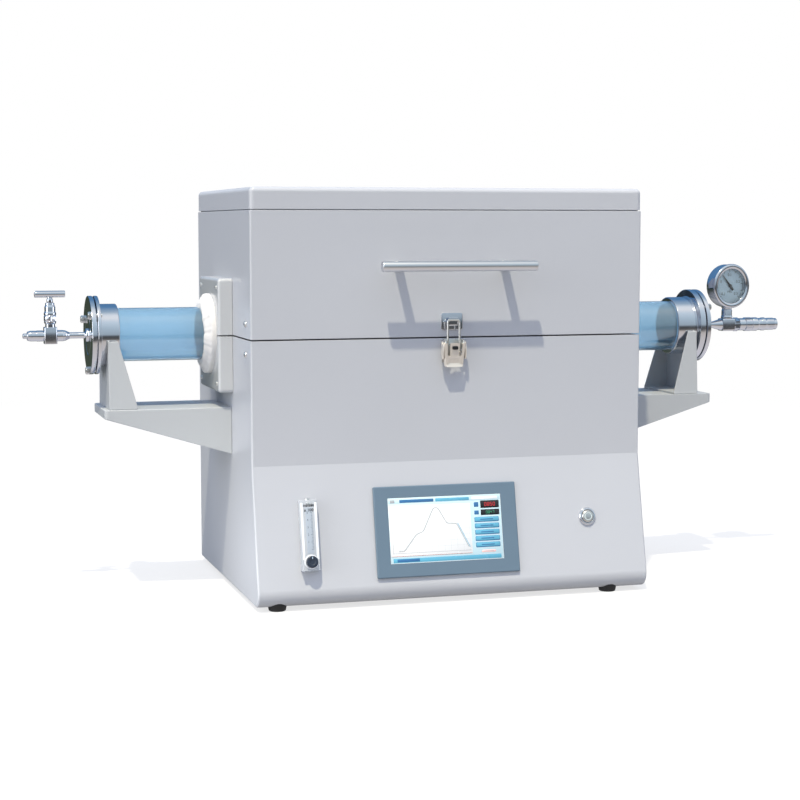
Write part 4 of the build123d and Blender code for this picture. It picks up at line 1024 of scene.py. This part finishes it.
# Two slots, open at the top, let the bail's legs through when the lever swings out.
SLOT_END, SLOT_IN, SLOT_OUT = 0.53, 0.41, 0.66
lever_shapes = [pressing(SLOT_END, 1, -1, 1)] + [
    pressing(0, SLOT_END, *span)
    for span in ((-1, -SLOT_OUT), (-SLOT_IN, SLOT_IN), (SLOT_OUT, 1))]


def cheek_plate(x0, x1, outline, ease=0.25):
    """Flat plate between x0 and x1, its (y, z) outline pulled in a little at both faces."""
    outline = np.array(outline, float)
    middle = outline.mean(0)
    inward = middle - outline
    inward /= np.linalg.norm(inward, axis=1)[:, None]
    rings = [np.c_[np.full(len(outline), x), outline + inward * i]
             for x, i in ((x0, ease), (x0 + ease, 0), (x1 - ease, 0), (x1, ease))]
    return grid(np.array(rings) * MM + (CASE_X, FRONT_Y, 0), closed_v=True, caps=(True, True))


cheek = eased([(-15.5, 356), (-17.6, 369), (-16.5, PIVOT_Z + 1), (-PIVOT_OUT, PIVOT_Z + 4),
               (-7.6, PIVOT_Z + 3), (-7.6, BAIL_Z - 3), (-12, 356)],
              [1.0, 2.5, 3.0, 2.0, 1.5], 4)
pin_line = eased([(0, 0), (2, 0), (2, 5.4), (3.1, 5.5), (3.1, 5.9), (0, 6.5)], 0.3, 3)
for s in SIDES:
    pin = Place(at(s * 12.5, -PIVOT_OUT, PIVOT_Z), (s, 0, 0), (0, 1, 0))
    lever_shapes += [cheek_plate(*sorted((s * 16.5, s * 18)), cheek), turned(pin, pin_line, 24)]
# An inner plate leans outwards from the wall, behind the lever's lower half.
inner_plate = [(-7.4, 345), (-8.6, 345), (-13.0, 362), (-11.8, 362)]
lever_shapes.append(cheek_plate(-12.4, 12.4, inner_plate))
# A dark tile on the lever's face is painted shade, standing in for an opening in the pressing.
lever_shapes.append(plate(facing_out(0, -19.0, PIVOT_Z - 5.5), 9, 5, 0, 0.5, corner=2, edge=0.1,
                          finish=1))
piece("latch_lever_pressing", lever_shapes, "pressed_steel needle_black", body="latch_lever",
      instead_of="latch_lever")

# %% Latch bail
BAIL_TOP, BAIL_X, BAIL_END_X, WIRE_R = BAIL_Z + 47, 9.0, 17.7, 1.5
route = [(-BAIL_END_X, BAIL_Z), (-BAIL_X, BAIL_Z), (-BAIL_X, BAIL_TOP), (BAIL_X, BAIL_TOP),
         (BAIL_X, BAIL_Z), (BAIL_END_X, BAIL_Z)]
route = eased(route, [2.4, 4.0, 4.0, 2.4], 8)
steps = np.linspace(0, 1, 12)[:, None]
line = np.vstack([a + (b - a) * steps[:-1] if np.linalg.norm(b - a) > 6 else a[None]
                  for a, b in zip(route[:-1], route[1:])] + [route[-1:]])
bail_line = np.array([CASE_X, FRONT_Y - PIVOT_OUT * MM, 0]) + np.c_[
    line[:, 0], np.zeros(len(line)), line[:, 1]] * MM
piece("latch_bail_wire", [wire(bail_line, WIRE_R)], "bright_steel", body="latch_bail",
      instead_of="latch_bail", sharp=50)

# %% Latch base and keeper
PLATE_LOW, PLATE_TOP, EAR_R = PIVOT_Z - 28, 385, 6.5
ear_arc = np.linspace(np.pi / 2, 3 * np.pi / 2, 15)
ear = np.vstack([[(-1, PIVOT_Z + EAR_R)], np.c_[-PIVOT_OUT + EAR_R * np.cos(ear_arc),
                                                PIVOT_Z + EAR_R * np.sin(ear_arc)],
                 [(-1, PIVOT_Z - EAR_R)]])
base_shapes = [plate(facing_out(0, 0, (PLATE_LOW + PLATE_TOP) / 2), 30,
                     PLATE_TOP - PLATE_LOW, 0, 2, corner=3)]
base_shapes += [cheek_plate(*sorted((s * 13, s * 15)), ear) for s in SIDES]
base_shapes += [rivet(x, PIVOT_Z - 21) for x in (-8, 8)]
piece("latch_base_plate", base_shapes, "bright_steel", instead_of="latch_base")

KEEPER_LOW, KEEPER_TOP, SHELF = 398.0, BAIL_TOP + 10, BAIL_TOP - 9
lip = -PIVOT_OUT + WIRE_R + 0.3
hook = eased([(-1, SHELF), (lip, SHELF), (lip, BAIL_TOP + 4), (lip + 2, BAIL_TOP + 4),
              (lip + 2, SHELF + 2), (-1, SHELF + 2)], [2.4, 0.8, 0.8, 1.0], 5)
keeper_shapes = [plate(facing_out(0, 0, (KEEPER_LOW + KEEPER_TOP) / 2), 33,
                       KEEPER_TOP - KEEPER_LOW, 0, 2, corner=3), cheek_plate(-7, 7, hook)]
keeper_shapes += [rivet(x, KEEPER_LOW + 12) for x in (-10.5, 10.5)]
piece("latch_keeper_hook", keeper_shapes, "polished_steel", body="lid", instead_of="latch_keeper")

# %% [markdown]
# ## Control panel
# Three things sit on the leaning panel: a flowmeter, a touch screen and the power button. The
# screen's picture is built as flat shapes a few hundredths of a millimetre thick, so it stays
# sharp at any distance and needs no image. Its digits are seven-segment figures.

# %% Screen picture
screen_place = on_panel(-15.75, 101.2)
SCREEN_W, SCREEN_H, SCREEN_TOP = 173.5, 95.5, 4.8


def patch(x, y, width, height, finish_number, lift=0.02, corner=0.8):
    """A coloured tile on the screen; x and y are its middle, in mm from the screen's middle."""
    return plate(screen_place.moved(x, y), width, height, SCREEN_TOP, SCREEN_TOP + lift,
                 corner=corner, edge=0.005, finish=finish_number, steps=1)


def tiles(*rows):
    """Several tiles at once; each row holds what `patch` is given."""
    return [patch(*row) for row in rows]


def segments(x, y, number, size, finish_number):
    """Seven-segment figures: each lit bar is a tile placed by one row of a table."""
    bars = {"a": (0, 1, 1), "b": (0.5, 0.5, 0), "c": (0.5, -0.5, 0), "d": (0, -1, 1),
            "e": (-0.5, -0.5, 0), "f": (-0.5, 0.5, 0), "g": (0, 0, 1)}
    lit = {"0": "abcdef", "1": "bc", "2": "abged", "3": "abgcd", "4": "fgbc", "5": "afgcd",
           "6": "afgedc", "7": "abc", "8": "abcdefg", "9": "abcdfg"}
    shapes = []
    for k, figure in enumerate(number):
        for name in lit[figure]:
            dx, dy, flat = bars[name]
            wide, tall = (size * 0.42, size * 0.13) if flat else (size * 0.13, size * 0.40)
            shapes.append(patch(x + (k - (len(number) - 1) / 2) * size * 0.82 + dx * size * 0.5,
                                y + dy * size * 0.45, wide, tall, finish_number, 0.08, 0.1))
    return shapes


def trace(points, width, finish_number, lift=0.07):
    """A drawn line: a ribbon on both sides of the points, square to the way they run."""
    points = np.array(points, float)
    along = np.gradient(points, axis=0)
    side = np.c_[-along[:, 1], along[:, 0]] / np.linalg.norm(along, axis=1)[:, None] * width / 2
    rows = np.stack([np.c_[points + side, np.full(len(points), SCREEN_TOP + lift)],
                     np.c_[points - side, np.full(len(points), SCREEN_TOP + lift)]])
    return grid(screen_place(rows * MM), finish=finish_number)


for shade, level in (("glass_white", (236, 238, 240)), ("glass_pale", (196, 224, 234)),
                     ("glass_cyan", (92, 166, 196)), ("glass_blue", (52, 106, 156)),
                     ("glass_black", (16, 16, 20)), ("glass_red", (214, 44, 48)),
                     ("glass_green", (52, 150, 112)), ("glass_grey", (166, 171, 176)),
                     ("glass_line", (206, 211, 214)), ("glass_rose", (238, 196, 194))):
    tree, shader = finish(shade, Coat_Weight=0.4, Coat_Roughness=0.08, Emission_Strength=0.06)
    plug(tree, shader, "Emission Color", tint(tree, shader, srgb(*level), 0.03, 60.0))
    smeared(tree, shader, 0.2, 0.12)

WHITE, PALE, CYAN, BLUE, BLACK, RED, GREEN, GREY, LINE, ROSE = range(10)
shapes = tiles((0, 0, SCREEN_W - 0.6, SCREEN_H - 0.6, PALE, 0.01),
               (-23.5, -1.0, 125, 74, WHITE, 0.03), (0, 43.2, 172, 7.6, PALE, 0.03),
               (-43, 42.6, 52, 4.6, BLUE, 0.04), (12, 42.6, 52, 4.6, CYAN, 0.04),
               (-80, 42.6, 7, 4.6, GREY, 0.05), (62, 43.0, 40, 4.0, WHITE, 0.04),
               (0, -43.6, 166, 6.2, CYAN, 0.03), (-60, -43.6, 34, 4.4, BLUE, 0.04),
               (-23.5, -37.4, 124, 1.0, ROSE, 0.05))
CHART_LEFT, CHART_RIGHT, CHART_HALF = -82.0, 36.0, 33.0
shapes += tiles(*((x, 0, 0.28, 66, LINE, 0.04, 0.05)
                  for x in np.linspace(CHART_LEFT, CHART_RIGHT, 13)),
                *((-23, y, 118, 0.28, LINE, 0.04, 0.05)
                  for y in np.linspace(-CHART_HALF, CHART_HALF, 9)),
                (-82, 0, 0.6, 68, GREY, 0.05, 0.05), (-23, -33, 120, 0.6, GREY, 0.05, 0.05))
run = np.linspace(0, 1, 240)
programme = np.interp(run, [0.08, 0.26, 0.36, 0.52, 0.58, 0.7, 0.84, 1.0],
                      [0.04, 0.4, 0.46, 0.97, 0.97, 0.62, 0.6, 0.06])
kernel = np.hanning(15) / np.hanning(15).sum()
smooth = np.convolve(np.pad(programme, 7, "edge"), kernel, "valid")
run_x = CHART_LEFT + 8 + (CHART_RIGHT - CHART_LEFT - 10) * run
measured, target = (np.c_[run_x, -CHART_HALF + 2 * CHART_HALF * level]
                    for level in (smooth, programme))
shapes += [trace(measured, 1.2, GREY), trace(target[:150] + (0, 1.8), 0.6, LINE, 0.06),
           trace(target[200:] + (1.5, 0.8), 0.9, CYAN, 0.09)]
shapes += tiles((69.5, 33.2, 29, 11.2, BLACK, 0.05), (69.5, 21.4, 29, 8.4, BLACK, 0.05),
                (48.5, 33.2, 7, 7, BLUE, 0.04), (48.5, 21.4, 7, 6, BLUE, 0.04))
shapes += segments(69.5, 33.2, "0850", 5.4, RED) + segments(69.5, 21.4, "0847", 4.2, GREEN)
for y in 11.0 - 9.3 * np.arange(5):
    shapes += tiles((63.5, y, 38, 7.4, BLUE, 0.05, 1.4), (63.5, y + 0.4, 36.6, 5.8, CYAN, 0.07, 1.2),
                    (63.5, y + 0.2, 20, 1.5, BLUE, 0.09, 0.4))
shapes += tiles((64, -35.6, 22, 3.6, ROSE, 0.04, 1.6), (64, -35.6, 15, 1.0, GREY, 0.06, 0.3))
piece("screen_picture", shapes, "glass_white glass_pale glass_cyan glass_blue glass_black "
      "glass_red glass_green glass_grey glass_line glass_rose", sharp=180)

# %% [markdown]
# ## Flowmeter
# A milky acrylic block has painted highlight in a pale strip down each side and a pale ring
# round the knob, a printed scale on a grey strip, and a knurled valve knob below. The knurl is a
# fine wave on the turned outline: the radius is R - d |sin(24 a)|.

# %% Flowmeter
flow = on_panel(-223, 101.7)
FLOW_W, FLOW_H, FLOW_T, KNOB_DROP = 25.5, 102.0, 14.0, -38.0
SCALE_FOOT, TICK, TICKS, PER_FIGURE = -20, 2.1, 26, 5
block = [plate(flow, FLOW_W, FLOW_H, 0.05, FLOW_T, corner=1.6, edge=1.0)]
# Pale strips down both sides are painted highlight for the block's lit edges.
for s in SIDES:
    block.append(plate(flow.moved(s * (FLOW_W / 2 - 2.6), 6), 3.4, FLOW_H - 20, FLOW_T - 0.2,
                       FLOW_T + 0.25, corner=0.8, edge=0.2, finish=1))
block.append(plate(flow.moved(0, 7), 10.2, 66, FLOW_T - 0.2, FLOW_T + 0.12, corner=1.0, edge=0.08,
                   finish=2))
cap_screw = eased([(0, 0), (2.2, 0), (2.2, 0.7), (0, 1.0)], 0.3, 3)
for y in (-(FLOW_H / 2 - 6) + 4, FLOW_H / 2 - 6):
    block.append(turned(flow.moved(0, y, FLOW_T - 0.4), cap_screw, 24, finish=3))
for k in range(TICKS):
    x, length = (3.9, 2.0) if k % PER_FIGURE else (3.2, 3.4)
    block.append(plate(flow.moved(x, SCALE_FOOT + TICK * k), length, 0.36, FLOW_T, FLOW_T + 0.2,
                       corner=0.05, edge=0.01, finish=4, steps=1))
for k in range(1, 6):
    block.append(lettering(flow.moved(-2.4, SCALE_FOOT + PER_FIGURE * TICK * k, FLOW_T + 0.1),
                           str(k), 4.2, finish=4))
for text, rise in (("ml/min", 43.0), ("x 100", 36.0)):
    block.append(lettering(flow.moved(0, rise, FLOW_T + 0.05), text, 6.0, finish=4, bold=0.22))
# A pale ring round the knob's seat is painted highlight too.
block.append(turned(flow.moved(0, KNOB_DROP, FLOW_T - 0.3),
                    eased([(3, 0), (10.4, 0), (10.4, 0.7), (9.4, 1.0), (3, 1.0)], 0.4, 3), 64,
                    finish=1))
# The bright acrylic shade is painted highlight; the grey strip is the scale's own colour.
for shade, level, rough in (("acrylic_edge", (236, 240, 246), 0.12),
                            ("scale_strip", (172, 182, 194), 0.2)):
    tree, shader = finish(shade, Coat_Weight=0.6, Coat_Roughness=0.06)
    tint(tree, shader, srgb(*level), 0.04, 40.0)
    smeared(tree, shader, rough, 0.1)
piece("flowmeter_block", block, "clear_acrylic acrylic_edge scale_strip bright_steel needle_black",
      instead_of="flow_block")


def knurled(angle, radius=8.7, depth=0.35, teeth=24):
    """Radius at each angle of a knurled rim: R - d |sin(teeth a)|."""
    return radius - depth * np.abs(np.sin(teeth * angle))


knob = flow.moved(0, KNOB_DROP, FLOW_T)
knob_line = eased([(0, 0.8), (7.4, 0.8), (8.8, 1.6), (8.8, 7.0), (7.6, 8.0), (4.4, 8.0), (3.8, 7.2),
                   (0, 7.2)], [0.4, 0.6, 0.6, 0.8, 0.3, 0.6], 3)
piece("flowmeter_knob", [turned(knob, knob_line, 192, knurled),
                         turned(knob, [(0, -7), (2.4, -7), (2.4, 1.0)], 24),
                         plate(knob.moved(0, 5.6), 0.9, 3.4, 7.9, 8.1, corner=0.3, edge=0.05,
                               finish=1)],
      "knob_plastic dial_white", body="flow_knob", instead_of="flow_knob")

# %% [markdown]
# ## Power button
# A turned ring with a machined groove, and a domed metal cap with a pale ring let into it.

# %% Power button
spot = on_panel(208.5, 93)
ring_line = eased([(9.35, -2), (9.35, 3.2), (10.0, 4.0), (11.2, 4.0), (11.6, 3.2), (12.4, 3.0),
                   (13.4, 1.8), (13.4, 0), (11, 0), (11, -21)],
                  [0.3, 0.4, 0.4, 0.3, 0.4, 0.6, 0.2, 0.1], 4)
barrel = [(9.3, -20), (0, -20), (0, -23.8), (11, -23.8), (11, -21)]
piece("button_bezel", [turned(spot, np.vstack([ring_line, barrel[::-1]]), 96)],
      "polished_steel", instead_of="button_ring")
cap_line = eased([(0, -7), (9.0, -7), (9.0, 4.4), (7.6, 5.6), (5.9, 5.7), (5.8, 5.4), (4.9, 5.4),
                  (4.8, 5.7), (0, 6.0)], [0.3, 0.8, 0.8, 0.05, 0.05, 0.05, 0.05], 4)
piece("button_dome", [turned(spot, cap_line, 96),
                      turned(spot, [(4.85, 5.2), (5.85, 5.2), (5.85, 5.55), (4.85, 5.55)], 64,
                             finish=1, closed=True)],
      "bright_steel button_plastic", body="button_cap", instead_of="button_cap")

# %% [markdown]
# ## Screws in the sheets
# Pan-head screws close the rear panel, the port covers, the hinge leaves and the side walls.
# Each row of places below is a small table of positions in millimetres.

# %% Screws
BACK, SIDE, PORT_OUT, LEAF_OUT = 408.0, 300.0, 322.0, 2.4
rear = [Place(at(x, BACK, z), (0, 1, 0), (1, 0, 0)) for x in (-284, -96, 96, 284)
        for z in (30, 370)]
piece("rear_screws", [shape for p in rear for shape in screw(p, 3.6, 1.9)],
      "bright_steel needle_black")
for body, sign in (("furnace", -1), ("lid", 1)):
    heads = []
    for s in SIDES:
        for x, y, height, head, rise in (
                (PORT_OUT, 142, 72, 3.2, 1.6), (PORT_OUT, 266, 72, 3.2, 1.6),
                (SIDE, 34, 22, 4.4, 2.6), (SIDE, 374, 22, 4.4, 2.6)):
            heads += screw(Place(at(s * x, y, LINE_Z + sign * height), (s, 0, 0), (0, 1, 0)),
                           head, rise)
    for x in (-200, 200):
        for across, height in ((-20, 34), (20, 34), (0, 22)):
            heads += screw(Place(at(x + across, BACK + LEAF_OUT, LINE_Z + sign * height),
                                 (0, 1, 0), (1, 0, 0)), 3.0, 1.3)
    piece(f"{body}_side_screws", heads, "bright_steel needle_black", body=body)

# %% [markdown]
# ## Floor, world and lamps
# The stage is a white sheet. For the camera, and for what glass lets through, floor and world
# are plain white, and the floor keeps a soft shadow. Polished metal is only as good as what it
# mirrors, so glossy rays meet a studio instead: a white ceiling, a bluish back wall, a dark
# line at the horizon and a warm floor, laid out as bands round the tube's direction. A key
# lamp stands high on the front left, and a weaker, broader one on the left. The world fills
# the rest, brighter from above, and two low, wide lamps give back what a sunlit floor would
# throw on the case's lower edge.

# %% World
def light_paths(tree):
    """The light path's outputs, and 1 where the camera or glass is looking."""
    paths = tree.tree.nodes.new("ShaderNodeLightPath").outputs
    return paths, tree.math("MAXIMUM", paths["Is Camera Ray"], paths["Is Transmission Ray"])


world = bpy.data.worlds.new("studio")
bpy.context.scene.world = world
world.use_nodes = True
t = Tree(world.node_tree)
world.node_tree.nodes.clear()
paths, seen = light_paths(t)
x, y, z = (t("ShaderNodeSeparateXYZ", out=k, Vector=t("ShaderNodeTexCoord", out="Object"))
           for k in range(3))
fill = t("ShaderNodeBackground", Color=(0.78, 0.87, 1.1), Strength=t.ramp(z, 0.0, 1.0, 0.2, 1.45))
turn = t.math("ARCTAN2", z, t.math("MULTIPLY", y, -1.0))
bands = world.node_tree.nodes.new("ShaderNodeValToRGB")
world.node_tree.links.new(t.ramp(turn, -math.pi, math.pi), bands.inputs["Fac"])
studio = {-180: (60, 70, 58), -160: (92, 98, 92), -115: (224, 222, 228), -85: (228, 222, 224),
          -40: (220, 212, 208), -22: (214, 204, 196), -13: (96, 94, 92), -3: (84, 86, 88),
          4: (176, 190, 200), 30: (196, 214, 226), 52: (222, 236, 246), 68: (255, 255, 255),
          80: (248, 252, 255), 98: (172, 194, 212), 130: (96, 142, 186), 168: (84, 128, 172),
          178: (40, 48, 56)}
stops = bands.color_ramp.elements
while len(stops) < len(studio):
    stops.new(0.5)
for stop, (degrees, level) in zip(stops, studio.items()):
    stop.position = (degrees + 180) / 360
    stop.color = (*srgb(*level), 1.0)
mirror = t("ShaderNodeBackground", Color=bands.outputs["Color"], Strength=1.0)
white = t("ShaderNodeBackground", Color=(1, 1, 1), Strength=1.0)
lit = t("ShaderNodeMixShader", i0=paths["Is Glossy Ray"], i1=fill, i2=mirror)
t("ShaderNodeOutputWorld", Surface=t("ShaderNodeMixShader", i0=seen, i1=lit, i2=white))
print("world: fill, white and", len(studio), "bands")

# %% Floor
HALF_FLOOR = 15.0
floor_mesh = bpy.data.meshes.new("floor")
floor_mesh.from_pydata([(u * HALF_FLOOR, v * HALF_FLOOR, 0)
                        for u, v in ((-1, -1), (1, -1), (1, 1), (-1, 1))], [], [(0, 1, 2, 3)])
floor = add_object("floor", floor_mesh)
floor.visible_glossy = False
material = bpy.data.materials.new("floor_white")
material.use_nodes = True
material.node_tree.nodes.clear()
t = Tree(material.node_tree)
_, seen = light_paths(t)
grain = t("ShaderNodeTexNoise", Vector=t("ShaderNodeTexCoord", out="Object"), Scale=3.0)
near = t.blend(grain, (0.8, 0.8, 0.8), (0.84, 0.84, 0.84))
pale = t("ShaderNodeBsdfDiffuse", Color=t.blend(seen, (0.31, 0.31, 0.31), near))
glow = t("ShaderNodeEmission", Color=(1, 1, 1), Strength=1.0)
away = t("ShaderNodeVectorMath", out="Value", props={"operation": "LENGTH"},
         i0=t("ShaderNodeTexCoord", out="Object"))
far = t.ramp(away, 0.5, 3.0, 0.72, 1.0)
t("ShaderNodeOutputMaterial",
  Surface=t("ShaderNodeMixShader", i0=t.math("MULTIPLY", seen, far), i1=pale, i2=glow))
floor_mesh.materials.append(material)


# %% Lamps
def lamp(name, kind, energy, direction, **settings):
    """A lamp that shines along a direction."""
    data = bpy.data.lights.new(name, kind)
    data.energy = energy
    for label, value in settings.items():
        setattr(data, label, value)
    thing = add_object(name, data)
    thing.rotation_euler = Vector(direction).to_track_quat("-Z", "Y").to_euler()
    return thing


lamp("key", "SUN", 3.4, (24, 42, -102), angle=math.radians(1.4), color=(1.0, 0.91, 0.7))
lamp("left_fill", "SUN", 1.05, (100, 30, -20), angle=math.radians(40.0))
for name, energy, spot, direction, wide in (
        ("side_glow", 0.45, (-460, 0, 25), (1, 0.15, 0.1), 0.3),
        ("front_glow", 0.27, (20, -360, 30), (0, 1, 0.1), 0.8)):
    glow_lamp = lamp(name, "AREA", energy, direction, shape="RECTANGLE", size=wide, size_y=0.2)
    glow_lamp.location = at(*spot)
    glow_lamp.visible_camera = glow_lamp.visible_glossy = False
